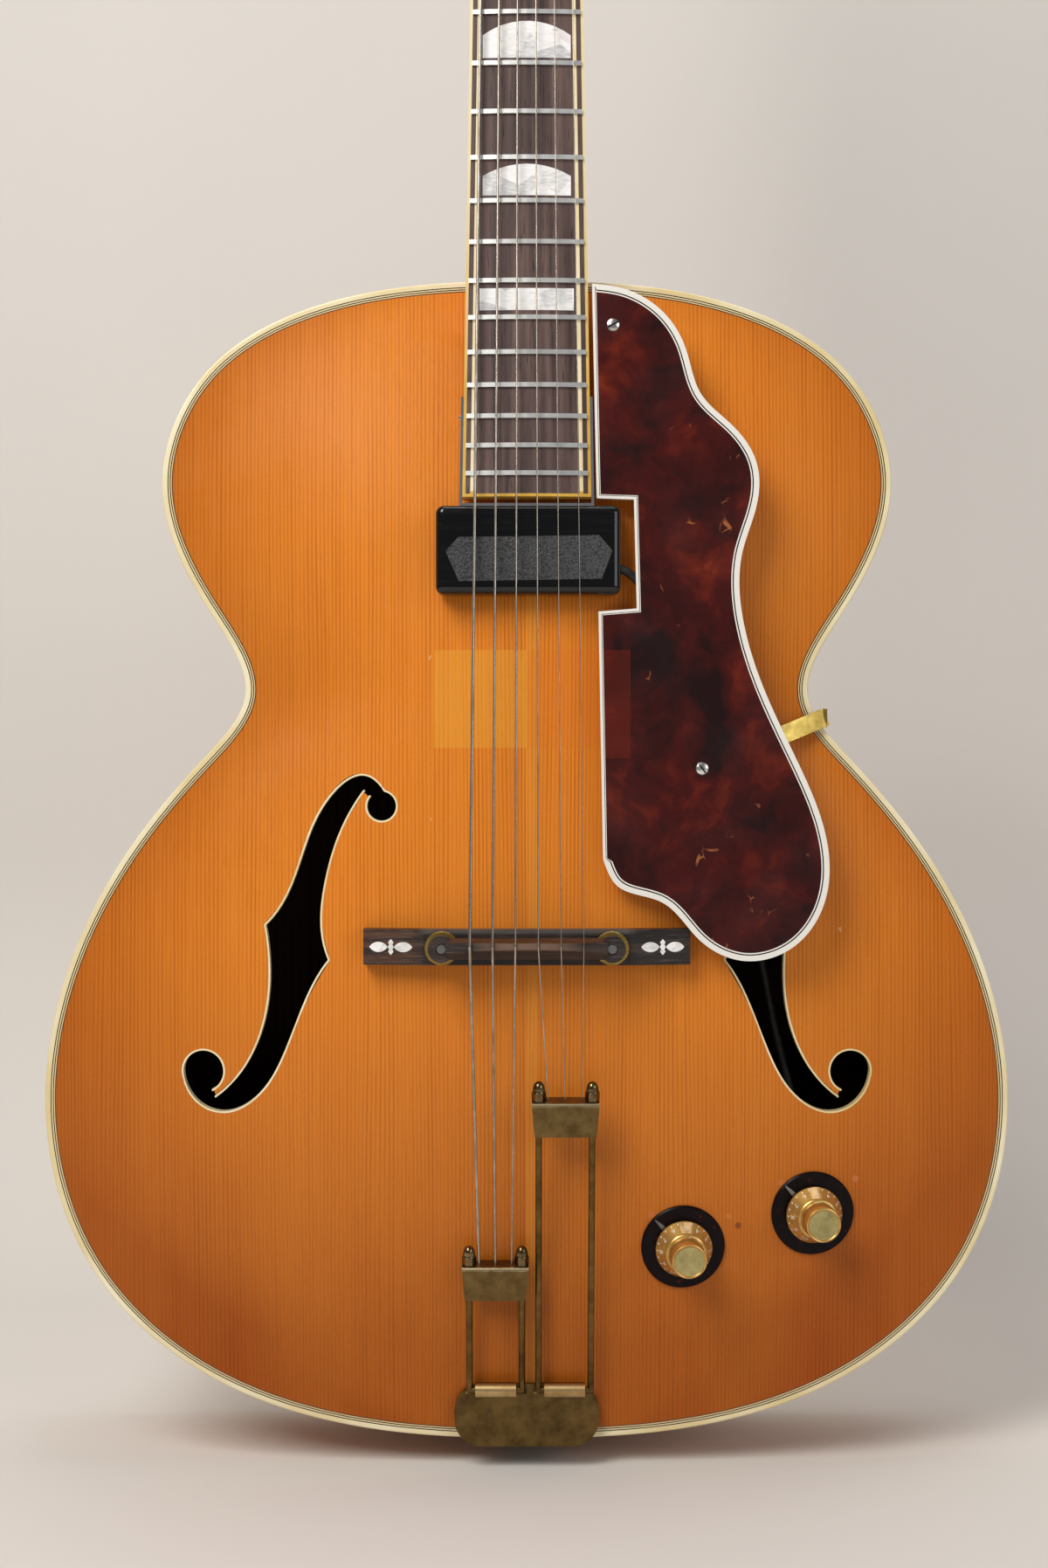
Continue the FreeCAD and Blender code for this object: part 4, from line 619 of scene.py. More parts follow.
# %% [markdown]
# ## The metals
# The tailpiece is brass that has gone brown, with bright places where hands rub it. Frets, tuners and
# screws are nickel, the pickup's clamp is chrome, and the knobs are gold under clear plastic. One function
# mixes a bright and a dull tone by the tarnish, which is shorter than a tree for each metal.

# %% Metals
KNUCKLE_FRONT = (-0.0512, -0.0532)
WRAP_STEP = 0.32


def bare_metal(name, size, metallic=1.0, **values):
    """A metal's finish and its tarnish, both to be coloured."""
    n = Finish(name, Metallic=metallic, **values)
    return n, n.use(TARNISH, Size=size)


def make_metal(name, bright, dull, rough, size=90.0, specks=0.4, metallic=1.0, **values):
    """A metal with cloudy tarnish between two colours and two roughnesses."""
    n, dirt = bare_metal(name, size, metallic, **values)
    colour = n.tint(n.mix(dirt["Dull"], bright, dull), dirt["Specks"], specks, dull)
    return n.done(Base_Color=colour, Roughness=n.span(dirt["Dull"], 0, 1, *rough))


def make_tail_brass():
    """Brown aged brass, brighter where the rolled knuckles stand forward."""
    n, dirt = bare_metal("tail_brass", 120.0)
    aged = n.mix(dirt["Dull"], rgb(120, 98, 58), rgb(84, 66, 38))
    rubbed = n.mix(dirt["Dull"], rgb(206, 178, 128), rgb(166, 132, 82))
    return n.done(Base_Color=n.mix(n.span(n.y, *KNUCKLE_FRONT), aged, rubbed),
                  Roughness=n.span(dirt["Dull"], 0, 1, 0.3, 0.48))


def make_anchor_brass():
    """Brown folded sheet with a bright rubbed fold, by the distance from the fold in the UV map."""
    n, dirt = bare_metal("anchor_brass", 150.0)
    aged = n.mix(dirt["Dull"], rgb(128, 106, 66), rgb(92, 74, 44))
    edge = n.calc("ADD", n.uv(1), n.times(dirt["Dull"], 0.5))
    return n.done(Base_Color=n.mix(n.span(edge, 1.6, 0.4), aged, rgb(226, 204, 160)),
                  Roughness=n.span(edge, 0.4, 2.0, 0.22, 0.42))


def make_string_wire(name, wrap_step):
    """Bright wire, ribbed along its length by its wrap where it has one."""
    n, dirt = bare_metal(name, 70.0, 0.92)
    if wrap_step:
        wrap = n.calc("SINE", n.times(n.uv(0), 2 * math.pi / wrap_step))
        n.feed(n.shader, {"Normal": n.bumped(wrap, 0.03, 0.0001)})
    return n.done(Base_Color=n.mix(dirt["Dull"], rgb(186, 176, 164), rgb(138, 128, 114)),
                  Roughness=n.span(dirt["Dull"], 0, 1, 0.22, 0.36))


TAIL_BRASS = make_tail_brass()
ANCHOR_BRASS = make_anchor_brass()
ROD_BRASS = make_metal("rod_brass", rgb(124, 100, 58), rgb(78, 60, 32), (0.3, 0.45), 120.0)
WHEEL_BRASS = make_metal("wheel_brass", rgb(196, 170, 92), rgb(150, 122, 60), (0.28, 0.42), 140.0)
NUT_BRASS = make_metal("acorn_brass", rgb(138, 118, 84), rgb(84, 68, 44), (0.14, 0.28), 130.0)
NICKEL = make_metal("nickel", rgb(226, 224, 218), rgb(190, 186, 176), (0.2, 0.36), 110.0)
FRET_METAL = make_metal("fret_metal", rgb(248, 248, 246), rgb(226, 226, 222), (0.3, 0.42), 110.0, 0.3)
CHROME = make_metal("chrome", rgb(240, 240, 240), rgb(214, 214, 214), (0.07, 0.2), 80.0, 0.2)
STEEL = make_metal("plain_steel", rgb(150, 150, 150), rgb(110, 110, 110), (0.35, 0.5), 100.0)
REFLECTOR = make_metal("pale_reflector", rgb(196, 184, 128), rgb(150, 140, 92), (0.16, 0.3), 120.0, 0.5)
# Painted shade for the screws' slots.
SLOT_SHADE = make_metal("slot_shadow", rgb(36, 32, 28), rgb(24, 20, 18), (0.5, 0.7))
WHITE_MARK = make_metal("mark_white", rgb(236, 232, 220), rgb(214, 206, 186), (0.4, 0.5), metallic=0.0)
KNOB_GOLD = make_metal("knob_gold", rgb(222, 178, 92), rgb(186, 136, 58), (0.26, 0.42), 160.0, 0.0, 0.75,
                       Coat_Weight=1.0, Coat_Roughness=0.06)
WOUND = make_string_wire("wound_wire", WRAP_STEP)
PLAIN = make_string_wire("plain_wire", 0)
print("finishes so far:", len(bpy.data.materials))

# %% [markdown]
# ## Finishes for the CAD pieces that keep their shape
# The frame's own meshes are exact where a piece is flat or turned, so they stay and only take a finish.
# Whatever is not listed is nickel.

# %% Dress the CAD nodes
CAD_FINISHES = [
    (MAPLE, "back_plate ribs neck"),
    (SPRUCE, "top_plate"),
    (BARE_WOOD, "end_blocks linings tone_bars"),
    (CREAM, "heel_cap back_binding top_binding f_hole_bindings"),
    (ROSEWOOD, "fretboard"),
    (BOARD_EDGE, "fretboard_binding"),
    (FRET_METAL, "frets"),
    (PEARL, "pearl_inlays"),
    (BLACK, "headstock_veneer truss_rod_cover pickguard pickup_cover"),
    (STEEL, "truss_rod bridge_studs potentiometers pickup_coil"),
    (BONE, "nut"),
    (EBONY, "bridge_base bridge_saddle"),
    (WHEEL_BRASS, "thumbwheel_bass thumbwheel_treble pickguard_bracket"),
    (ROD_BRASS, "fork_bass fork_treble anchor_bass anchor_treble"),
    (NUT_BRASS, "anchor_nuts_bass anchor_nuts_treble"),
    (TAIL_BRASS, "tailpiece_plate"),
    (DISC_BLACK, "knob_discs"),
    (KNOB_GOLD, "knob_tone knob_volume"),
    (LEATHER, "pickup_panel"),
    (CHROME, "pickup_clamp"),
    (RUBBER, "pickup_lead"),
]
finish_of = {name: finish for finish, names in CAD_FINISHES for name in names.split()}
for name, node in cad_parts.items():
    finish = finish_of.get(name, NICKEL)
    if not node.material_slots:
        node.data.materials.append(finish)
    for place in node.material_slots:
        place.material = finish
print("dressed", len(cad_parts), "CAD nodes")

# %% [markdown]
# ## The body's outline
# One smooth closed curve goes through points listed on half of the body, mirrored. Plates, ribs and
# bindings all follow it, moved inwards along its normals, so that their edges meet.

# %% Smooth curves through points
RIM = 43.0
TOP_RISE = 20
BACK_RISE = 17
BODY_LENGTH = 516.0
HALF_OUTLINE = [(0, 0), (66.92, 3.95), (140.93, 27.33), (193.91, 76.0), (214.5, 158), (192.07, 237.93),
                (145.17, 301.94), (125.5, 331), (141.74, 369.03), (162.5, 428.5), (145.76, 471.99),
                (94.74, 504.54), (27.63, 515.39), (0, 516)]
EDGE_SAMPLES = 600
TIGHTEST_MITRE = 0.35


def curve_through(points, samples, closed):
    """A cubic with even curvature through points, by chord length t. The bends m at the points solve
    h0 m0 + 2 (h0 + h1) m1 + h1 m2 = 6 (slope1 - slope0); an open curve has no bend at its ends."""
    points = np.asarray(points, float)
    count = len(points)
    following = np.roll(points, -1, 0)
    step = np.linalg.norm(following - points, axis=1)
    before = np.roll(step, 1)
    slope = (following - points) / step[:, None]
    rows = np.arange(count)
    matrix = np.zeros((count, count))
    matrix[rows, rows] = 2 * (before + step)
    matrix[rows, rows - 1] += before
    matrix[rows, (rows + 1) % count] += step
    wanted = 6 * (slope - np.roll(slope, 1, 0))
    if not closed:
        matrix[[0, -1]] = 0
        matrix[[0, -1], [0, -1]] = 1
        wanted[[0, -1]] = 0
    bend = np.linalg.solve(matrix, wanted)
    knots = np.concatenate([[0], np.cumsum(step)])
    last = knots[-1] if closed else knots[-2]
    t = np.linspace(0, last, samples, endpoint=not closed)
    cell = np.clip(np.searchsorted(knots, t, "right") - 1, 0, count - 1 if closed else count - 2)
    after = (cell + 1) % count
    h = step[cell][:, None]
    u = (t - knots[cell])[:, None]
    w = h - u
    near = (points[cell] / h - bend[cell] * h / 6) * w
    far = (points[after] / h - bend[after] * h / 6) * u
    return (bend[cell] * w ** 3 + bend[after] * u ** 3) / (6 * h) + near + far


def moved_in(ring, distance):
    """A closed flat ring moved to its left by a distance, with mitred corners."""
    ahead = unit(np.roll(ring, -1, 0) - ring)
    normal = np.stack([-ahead[:, 1], ahead[:, 0]], 1)
    earlier = np.roll(normal, 1, 0)
    fit = np.maximum(1 + np.sum(normal * earlier, 1), TIGHTEST_MITRE)
    return ring + np.reshape(distance, (-1, 1)) * (normal + earlier) / fit[:, None]


mirrored_half = [(-x, z) for x, z in HALF_OUTLINE[-2:0:-1]]
EDGE = curve_through(HALF_OUTLINE + mirrored_half, EDGE_SAMPLES, True)


def half_width(z):
    """Half the body's width at a height."""
    right = EDGE[EDGE[:, 0] >= 0]
    order = np.argsort(right[:, 1])
    return np.interp(z, right[order, 1], right[order, 0])


def arch_share(x, z):
    """Share of the arch's full rise: (1 - |x/w|^2.2)^2 (1 - |2z/L - 1|^3)^1.4."""
    side = np.clip(np.abs(x) / np.maximum(half_width(z), 1e-6), 0, 1)
    end = np.clip(np.abs(2 * z / BODY_LENGTH - 1), 0, 1)
    return (1 - side ** 2.2) ** 2 * (1 - end ** 3) ** 1.4


def top_depth(x, z):
    """Y of the top's outer face."""
    return -RIM - TOP_RISE * arch_share(x, z)


def back_depth(x, z):
    """Y of the back's outer face."""
    return RIM + BACK_RISE * arch_share(x, z)


print("outline", EDGE.min(0).round(1), EDGE.max(0).round(1))

# %% [markdown]
# ## Arched plates
# Each plate is a set of rings that shrink from the edge to a spine along the middle, lifted by the arch. A
# second set of rings makes the inner face. The sound holes are cut from the top with a Boolean, which is
# applied at once.

# %% Solids, joins and cuts
PLATE_WALL = 5.0
SPINE_ENDS = (110, 430)
OUTER_RINGS = 48
INNER_RINGS = 10


def raised(flat, y):
    """Flat points (x, z) at a depth Y, which is one number or one for each point."""
    return np.stack([flat[..., 0], np.broadcast_to(y, flat.shape[:-1]), flat[..., 1]], -1)


def plate_mesh(name, inset, depth_at, wall):
    """p(r, k) = spine(k) + r (edge(k) - spine(k)), Y from the arch; the inner face is one wall further in."""
    rim = moved_in(EDGE, inset)
    spine = np.stack([np.zeros(len(rim)), np.clip(rim[:, 1], *SPINE_ENDS)], 1)

    def face(rows, shift):
        flat = spine[None] + rows[:, None, None] * (rim - spine)[None]
        return raised(flat, depth_at(flat[..., 0], flat[..., 1]) + shift)

    outer = face(np.linspace(0, 1, OUTER_RINGS), 0)
    inner = face(np.linspace(1, 0, INNER_RINGS), wall)
    return grid_mesh(name, np.concatenate([outer, inner]), close_columns=True)


def prism_mesh(name, ring, low, high, place):
    """A flat ring (x, z) made solid from Y low to high, fanned from its middle; place turns local points."""
    middle = np.repeat(ring.mean(0)[None], len(ring), 0)
    layers = [(middle, low), (ring, low), (ring, high), (middle, high)]
    points = np.stack([raised(flat, y) for flat, y in layers])
    return grid_mesh(name, place(points), close_columns=True)


def ring_walls(count, levels):
    """Quads from each closed ring of points to the next, and the numbers of one ring's points."""
    near = np.arange(count)
    beyond = np.roll(near, -1)
    first = np.stack([near, beyond, beyond + count, near + count], 1)
    quads = first[None] + count * np.arange(levels - 1)[:, None, None]
    return quads.reshape(-1, 4).tolist(), near


def filled_prism(name, ring, low, high):
    """A solid with any flat outline: two large faces and a wall."""
    walls, near = ring_walls(len(ring), 2)
    points = np.stack([raised(ring, y) for y in (low, high)])
    mesh = new_mesh(name, points, walls + [near.tolist(), (near + len(ring)).tolist()])
    face_outwards(mesh)
    return mesh


def joined(name, meshes):
    """Several meshes as one."""
    work = bmesh.new()
    for mesh in meshes:
        work.from_mesh(mesh)
    result = bpy.data.meshes.new(name)
    work.to_mesh(result)
    work.free()
    smooth(result)
    return result


def settled(item):
    """An object's mesh, with all that makes it applied."""
    return bpy.data.meshes.new_from_object(item.evaluated_get(bpy.context.evaluated_depsgraph_get()))


def carved(mesh, tool):
    """A mesh with a tool's solid cut out of it."""
    pair = [linked("blank", mesh), linked("tool", tool)]
    step = pair[0].modifiers.new("cut", "BOOLEAN")
    step.object = pair[1]
    step.operation = "DIFFERENCE"
    step.solver = "EXACT"
    result = settled(pair[0])
    for item in pair:
        bpy.data.objects.remove(item)
    return result


def points_of(mesh):
    """A mesh's points, in its own unit."""
    spots = np.empty(len(mesh.vertices) * 3, np.float32)
    mesh.vertices.foreach_get("co", spots)
    return spots.reshape(-1, 3)


def keep_values(mesh, name, values):
    """Keeps one value at each point for the finish."""
    kept = mesh.attributes.new(name, "FLOAT", "POINT")
    kept.data.foreach_set("value", values.astype(np.float32))


# %% Top, back and their cut sound holes
F_CENTRE = np.array([-102.0, 221.0])
F_UPPER_EYE = (np.array([38.3, 60.9]), 6.4)
F_LOWER_EYE = (np.array([-41.1, -56.3]), 9.0)
F_RUNS = [
    [(39.5, 67.2), (29.1, 74.3), (13.6, 62.4), (3.4, 39.8), (-6.9, 15.7), (-13.1, 8.4)],
    [(-13.1, 8.4), (-11, -11.5), (-13.6, -34.2), (-24.9, -57.8), (-35.7, -68.1)],
    [(-49.9, -58), (-48.1, -64), (-41.9, -71.2), (-32.1, -74.1), (-16.2, -66), (-4.9, -47.6), (3.3, -27),
     (14.7, -6.6)],
    [(14.7, -6.6), (11.4, 6.9), (13.1, 27.5), (20.8, 52.2), (30.3, 68.1)],
]
F_RUN_SAMPLES = 28
F_EYE_SIDES = 48
F_RIM = 0.8
F_TOOL = (-90, -20)
TOP_INSET = 4.9
BACK_INSET = 2.5
# Where the finish has darkened: beyond this share of the half width, and below this height over a reach
TOAST_SIDE = 0.45
TOAST_LOW = 235
TOAST_REACH = 190
TOAST_TREBLE = 150


def f_hole_rings():
    """The bass hole's stem and two round eyes, each grown by the rim of its binding."""
    runs = [curve_through(run, F_RUN_SAMPLES, False) for run in F_RUNS]
    upper, lower = F_UPPER_EYE[0][None], F_LOWER_EYE[0][None]
    stem = np.concatenate([runs[0], runs[1][1:], lower, runs[2], runs[3][1:], upper])
    turn = full_turn(F_EYE_SIDES)
    circle = np.stack([np.cos(turn), np.sin(turn)], 1)
    eyes = [centre + (radius + F_RIM) * circle for centre, radius in (F_UPPER_EYE, F_LOWER_EYE)]
    return [ring + F_CENTRE for ring in [moved_in(stem, -F_RIM)] + eyes]


def f_hole_tools():
    """Cutting solids: first both stems, then all four eyes."""
    solids = []
    for sign in (1, -1):
        solids += [filled_prism("f_tool", ring * (sign, 1), *F_TOOL) for ring in f_hole_rings()]
    return joined("stems", [solids[0], solids[3]]), joined("eyes", solids[1:3] + solids[4:])


def toasted(mesh):
    """Keeps how dark the finish has gone at each point: most at the edge, low down and by the controls."""
    x, _, z = (points_of(mesh) / MM).T
    side = np.clip(np.abs(x) / np.maximum(half_width(z), 1), 0, 1)
    margin = np.clip((side - TOAST_SIDE) / (1 - TOAST_SIDE), 0, 1) ** 1.5
    low = np.clip((TOAST_LOW - z) / TOAST_REACH, 0, 1) ** 1.2
    amount = 0.55 * margin + 0.85 * low + 0.15 * low * np.clip(x / TOAST_TREBLE, 0, 1)
    keep_values(mesh, "toast", np.clip(amount, 0, 1))


def shade_inside(mesh):
    """Marks the back's inner face, which sees little light; the maple's finish paints that shade in near
    black-brown.
    """
    x, y, z = (points_of(mesh) / MM).T
    keep_values(mesh, "inside", y < back_depth(x, z) - 2)


top = plate_mesh("top", TOP_INSET, top_depth, PLATE_WALL)
for tool in f_hole_tools():
    top = carved(top, tool)
toasted(top)
smooth(top)
piece("arched_top", top, SPRUCE, stands_for=["top_plate"])
back = plate_mesh("back", BACK_INSET, back_depth, -PLATE_WALL)
shade_inside(back)
piece("arched_back", back, MAPLE, stands_for=["back_plate"])
print("top has", len(top.polygons), "faces, back has", len(back.polygons))

# %% [markdown]
# ## Bindings and ribs
# A small section goes round the outline. Its UV map keeps the distance from the edge in millimetres, and
# the finish draws the thin lines from that, so they stay even all the way round.

# %% Sections swept round the outline
EDGE_ROUND = 0.9
EDGE_TALL = 7.0
RIB_HALF = 36
RIB_WALL = 2.5


def swept_round(name, section, depth_at=None):
    """Section rows (inset, Y) along the outline; where depth_at is given, Y is measured from that arch."""
    layers = []
    for inset, y in section:
        ring = moved_in(EDGE, inset)
        layers.append(raised(ring, depth_at(ring[:, 0], ring[:, 1]) + y if depth_at else y))
    around = np.linspace(0, 1, len(EDGE) + 1)
    insets = np.array([inset for inset, _ in section] + [section[0][0]])
    uv = np.stack(np.meshgrid(around, insets), -1)
    return grid_mesh(name, np.stack(layers), close_rows=True, close_columns=True, uv=uv)


def rounded_front(width, sign):
    """Front of a binding: flat, then a small round corner onto its side."""
    turn = np.linspace(0, np.pi / 2, 6)
    corner = [(EDGE_ROUND * (1 - math.sin(a)), sign * EDGE_ROUND * (1 - math.cos(a))) for a in turn]
    return [(inset, 0.0) for inset in np.linspace(width, 1.2, 8)] + corner


top_edge = rounded_front(TOP_INSET, 1) + [(0, EDGE_TALL), (2.45, EDGE_TALL), (2.45, 1.6), (TOP_INSET, 1.6)]
back_edge = rounded_front(BACK_INSET, -1) + [(0, -EDGE_TALL), (BACK_INSET, -EDGE_TALL)]
piece("top_edge_binding", swept_round("top_edge", top_edge, top_depth), EDGE_LINES,
      stands_for=["top_binding"])
piece("back_edge_binding", swept_round("back_edge", back_edge, back_depth), CREAM,
      stands_for=["back_binding"])
rib_face = [(0, y) for y in np.linspace(-RIB_HALF, RIB_HALF, 5)]
rib_section = rib_face + [(RIB_WALL, RIB_HALF), (RIB_WALL, -RIB_HALF)]
piece("bent_ribs", swept_round("ribs", rib_section), MAPLE, stands_for=["ribs"])
print("bindings and ribs follow", len(EDGE), "places on the outline")

# %% [markdown]
# ## The guard
# The guard is a flat plate of tortoise celluloid with a white, black and white edge. Rings at each ply's
# distance keep the lines crisp; the middle is one large face. Along the straight side with its notch the
# plies are thinner.

# %% Pickguard
GUARD = [(28.4, 509), (40.9, 507.2), (59.3, 496.6), (68.9, 481.2), (75.7, 460.9), (89.2, 447.3),
         (99.8, 430.9), (100, 413.5), (93.6, 392.3), (94.1, 361.1), (104.5, 328.6), (119.6, 296.2),
         (130, 266.1), (128.9, 240.5), (115, 220.8), (94.1, 215), (74.4, 224.3), (58.1, 240.5), (39, 247.5),
         (33, 259.1)]
GUARD_NOTCH = [(31.1, 366.3), (47.7, 367.6), (46.5, 415), (30.3, 415.5)]
GUARD_SAMPLES = 200
GUARD_WALL = 3.2
GUARD_LEAN = math.radians(-1.0)
GUARD_HANG = np.array([0, -63.5, GUARD[0][1]])
THIN_PLIES = 0.5
PLY_STEPS = [0.0, 2.4, 2.401, 2.95, 2.951, 3.5, 3.501]
BEYOND_PLIES = 9.0


def guard_place(flat, y):
    """From the guard's own flat frame to the guitar's: a lean about X at its upper end."""
    return leaned(raised(flat, y) - (0, 0, GUARD_HANG[2]), GUARD_LEAN) + GUARD_HANG


def guard_mesh():
    """Rings moved in by each ply on the front, a back face and a wall; UV v is the distance from the edge."""
    ring = np.concatenate([curve_through(GUARD, GUARD_SAMPLES, False), np.array(GUARD_NOTCH)])[::-1]
    count = len(ring)
    share = np.where(np.arange(count) < len(GUARD_NOTCH) + 1, THIN_PLIES, 1.0)
    share[-1] = THIN_PLIES
    layers = [guard_place(ring, 0)]
    layers += [guard_place(moved_in(ring, step * share), -GUARD_WALL) for step in PLY_STEPS]
    walls, near = ring_walls(count, len(layers))
    last = (len(layers) - 1) * count
    mesh = new_mesh("guard", np.stack(layers), walls + [near[::-1].tolist(), (near + last).tolist()])
    distance = np.array([0.0] + PLY_STEPS)
    quads = np.stack([distance[:-1], distance[:-1], distance[1:], distance[1:]], 1)
    plies = np.repeat(quads, count, 0).reshape(-1)
    spread = np.concatenate([plies, np.zeros(count), np.full(count, BEYOND_PLIES)])
    write_uv(mesh, np.stack([np.zeros(len(spread)), spread], 1))
    smooth(mesh)
    return mesh


piece("tortoise_guard", guard_mesh(), TORTOISE, stands_for=["pickguard"])
print("guard made")

# %% [markdown]
# ## Strings
# Each string is a thin tube from its anchor over the saddle to the nut, and then round its post. A run that
# joins two moving bodies is given no body: the main runs, the runs behind the bridge and the tail runs are
# baked in place, and only the turns on the posts move with the guitar.

# %% Strings
GAUGES = [1.32, 1.07, 0.81, 0.61, 0.43, 0.33]
WOUND_COUNT = 4
BASS_COUNT = 3
ANCHOR_X = [-20.7, -13.7, -6.7, 9.7, 16.7, 23.7]
BASS_ANCHOR = (-61.092, 75.191)
TREBLE_ANCHOR = (-75.007, 148.691)
SADDLE_SPREAD = 48.5
SADDLE_CREST = -89
SADDLE_Z = 222.6
NUT_SPREAD = 35.5
NUT_CREST = -2.2
BOARD_RADIUS = 305.0
POST_OF = [0, 1, 2, 5, 4, 3]
POST_SPOTS = [(24.627, -15.967, 909.789), (26.821, -3.337, 949.845), (29.015, 9.292, 989.901)]
POST_RADIUS = 3.3
FIRST_TURN = -22.5
TURN_GAP = 0.5
TURNS = 3
TURN_STEPS = 28
NECK_BASE = np.array([0, -44.450, 869.086])
NECK_LEAN = math.radians(-3.5)
HEAD_LEAN = math.radians(-17.5)
ALONG_X = np.array([1.0, 0, 0])


def string_spots(number):
    """Anchor, saddle and nut spots of a string."""
    gauge = GAUGES[number]
    share = number / 5 - 0.5
    x = SADDLE_SPREAD * share
    saddle = np.array([x, SADDLE_CREST + x * x / (2 * BOARD_RADIUS) - gauge / 2 - 0.5, SADDLE_Z])
    x = NUT_SPREAD * share
    nut = NECK_BASE + leaned((x, x * x / (2 * BOARD_RADIUS) + NUT_CREST + 0.3 * gauge, 2.5), NECK_LEAN)
    anchor = BASS_ANCHOR if number < BASS_COUNT else TREBLE_ANCHOR
    return np.array([ANCHOR_X[number], *anchor]), saddle, nut


def tube_mesh(path, radius, reference, sides=12):
    """c(t) + radius (cos a side + sin a up), closed at both ends; UV u is the length in millimetres."""
    ahead = unit(np.gradient(path, axis=0))
    side = unit(np.cross(ahead, reference))
    up = np.cross(side, ahead)
    angle = full_turn(sides)[None, :, None]
    points = path[:, None] + radius * (np.cos(angle) * side[:, None] + np.sin(angle) * up[:, None])
    tips = [np.repeat(path[end][None, None], sides, 1) for end in (0, -1)]
    points = np.concatenate([tips[0], points, tips[1]])
    length = np.concatenate([[0], np.cumsum(np.linalg.norm(np.diff(path, axis=0), axis=1))])
    length = np.concatenate([length[:1], length, length[-1:]])
    uv = np.stack(np.meshgrid(length, np.linspace(0, 1, sides + 1), indexing="ij"), -1)
    return grid_mesh("tube", points, close_columns=True, uv=uv)


def run_mesh(start, end, radius, rows):
    """A straight run of wire."""
    share = np.linspace(0, 1, rows)[:, None]
    return tube_mesh(start + (end - start) * share, radius, ALONG_X)


def winding_path(number, nut):
    """Turns round the post: radius, depth and bearing in the post's own frame, then leaned with the head."""
    x, y, z = POST_SPOTS[POST_OF[number] % 3]
    base = np.array([-x if number < BASS_COUNT else x, y, z])
    wire = GAUGES[number]
    radius = POST_RADIUS + wire / 2
    away = leaned(nut - base, -HEAD_LEAN)
    lean_out = math.acos(radius / math.hypot(away[0], away[2]))
    turn_sign = 1 if number < BASS_COUNT else -1
    bearing = math.atan2(away[2], away[0]) + turn_sign * lean_out
    share = np.linspace(0, TURNS, TURNS * TURN_STEPS + 1)
    angle = bearing + turn_sign * 2 * np.pi * share
    depth = FIRST_TURN + (wire + TURN_GAP) * share
    local = np.stack([radius * np.cos(angle), depth, radius * np.sin(angle)], -1)
    return base + leaned(local, HEAD_LEAN)


def head_run(number):
    """From the nut to the post and round it."""
    _, _, nut = string_spots(number)
    path = winding_path(number, nut)
    radius = GAUGES[number] / 2
    return [run_mesh(nut, path[0], radius, 4), tube_mesh(path, radius, leaned((0, 1, 0), HEAD_LEAN), 10)]


def string_pieces(label, numbers, finish, node):
    """The pieces of a set of strings; the runs have no body, and the turns on the posts move with the guitar.
    """
    anchors, saddles, nuts = zip(*[string_spots(number) for number in numbers])
    middles = [(anchor + saddle) / 2 for anchor, saddle in zip(anchors, saddles)]
    every = range(len(numbers))

    def runs(suffix, starts, ends, chosen, rows):
        wires = [run_mesh(starts[row], ends[row], GAUGES[numbers[row]] / 2, rows) for row in chosen]
        return piece(label + suffix, joined("runs", wires), finish, None, [node])

    item = runs("_main_runs", nuts, saddles, every, 24)
    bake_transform(item)
    item = runs("_behind_bridge", saddles, middles, every, 8)
    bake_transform(item)
    for side in ("bass", "treble"):
        rows = [row for row in every if (numbers[row] < BASS_COUNT) == (side == "bass")]
        if not rows:
            continue
        item = runs(f"_to_{side}_anchor", middles, anchors, rows, 12)
        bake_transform(item)
    heads = [mesh for number in numbers for mesh in head_run(number)]
    piece(label + "_on_posts", joined("heads", heads), finish, stands_for=[node])


string_pieces("wound", range(WOUND_COUNT), WOUND, "wound_strings")
string_pieces("plain", range(WOUND_COUNT, len(GAUGES)), PLAIN, "plain_strings")
print("six strings strung")

# %% [markdown]
# ## The lead
# The pickup's lead runs under the guard to the treble sound hole and in to the controls. One NURBS spline
# with the route's points as control points gives it an even bend.

# %% Lead
LEAD_ROUTE = [(39.1, -67.616, 385.5), (47, -63.4, 384), (56, -63.2, 366), (62, -63.4, 330), (70, -63.2, 292),
              (88, -61.5, 264), (96, -56, 246), (100, -44, 232), (106, -34, 212), (112, -31, 180),
              (120, -32, 148), (125.4, -33.5, 120)]
LEAD_RADIUS = 1.9
lead_curve = bpy.data.curves.new("lead", "CURVE")
lead_curve.dimensions = "3D"
lead_curve.bevel_depth = LEAD_RADIUS * MM
lead_curve.bevel_resolution = 4
lead_curve.use_fill_caps = True
lead_line = lead_curve.splines.new("NURBS")
lead_line.points.add(len(LEAD_ROUTE) - 1)
for point, spot in zip(lead_line.points, LEAD_ROUTE):
    point.co = (*[value * MM for value in spot], 1)
lead_line.order_u = 3
lead_line.use_endpoint_u = True
lead_line.resolution_u = 10
lead = linked("pickup_lead_cable", lead_curve)
lead_curve.materials.append(RUBBER)
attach(lead, "guitar")
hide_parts("pickup_lead")
print("lead laid through", len(LEAD_ROUTE), "points")

# %% [markdown]
# ## Knobs
# Each knob is turned: a skirt, a sloping cone with numbers and ticks, a step and a cap with a pale disc set
# in it. The numbers are made as text and wrapped round the cone.

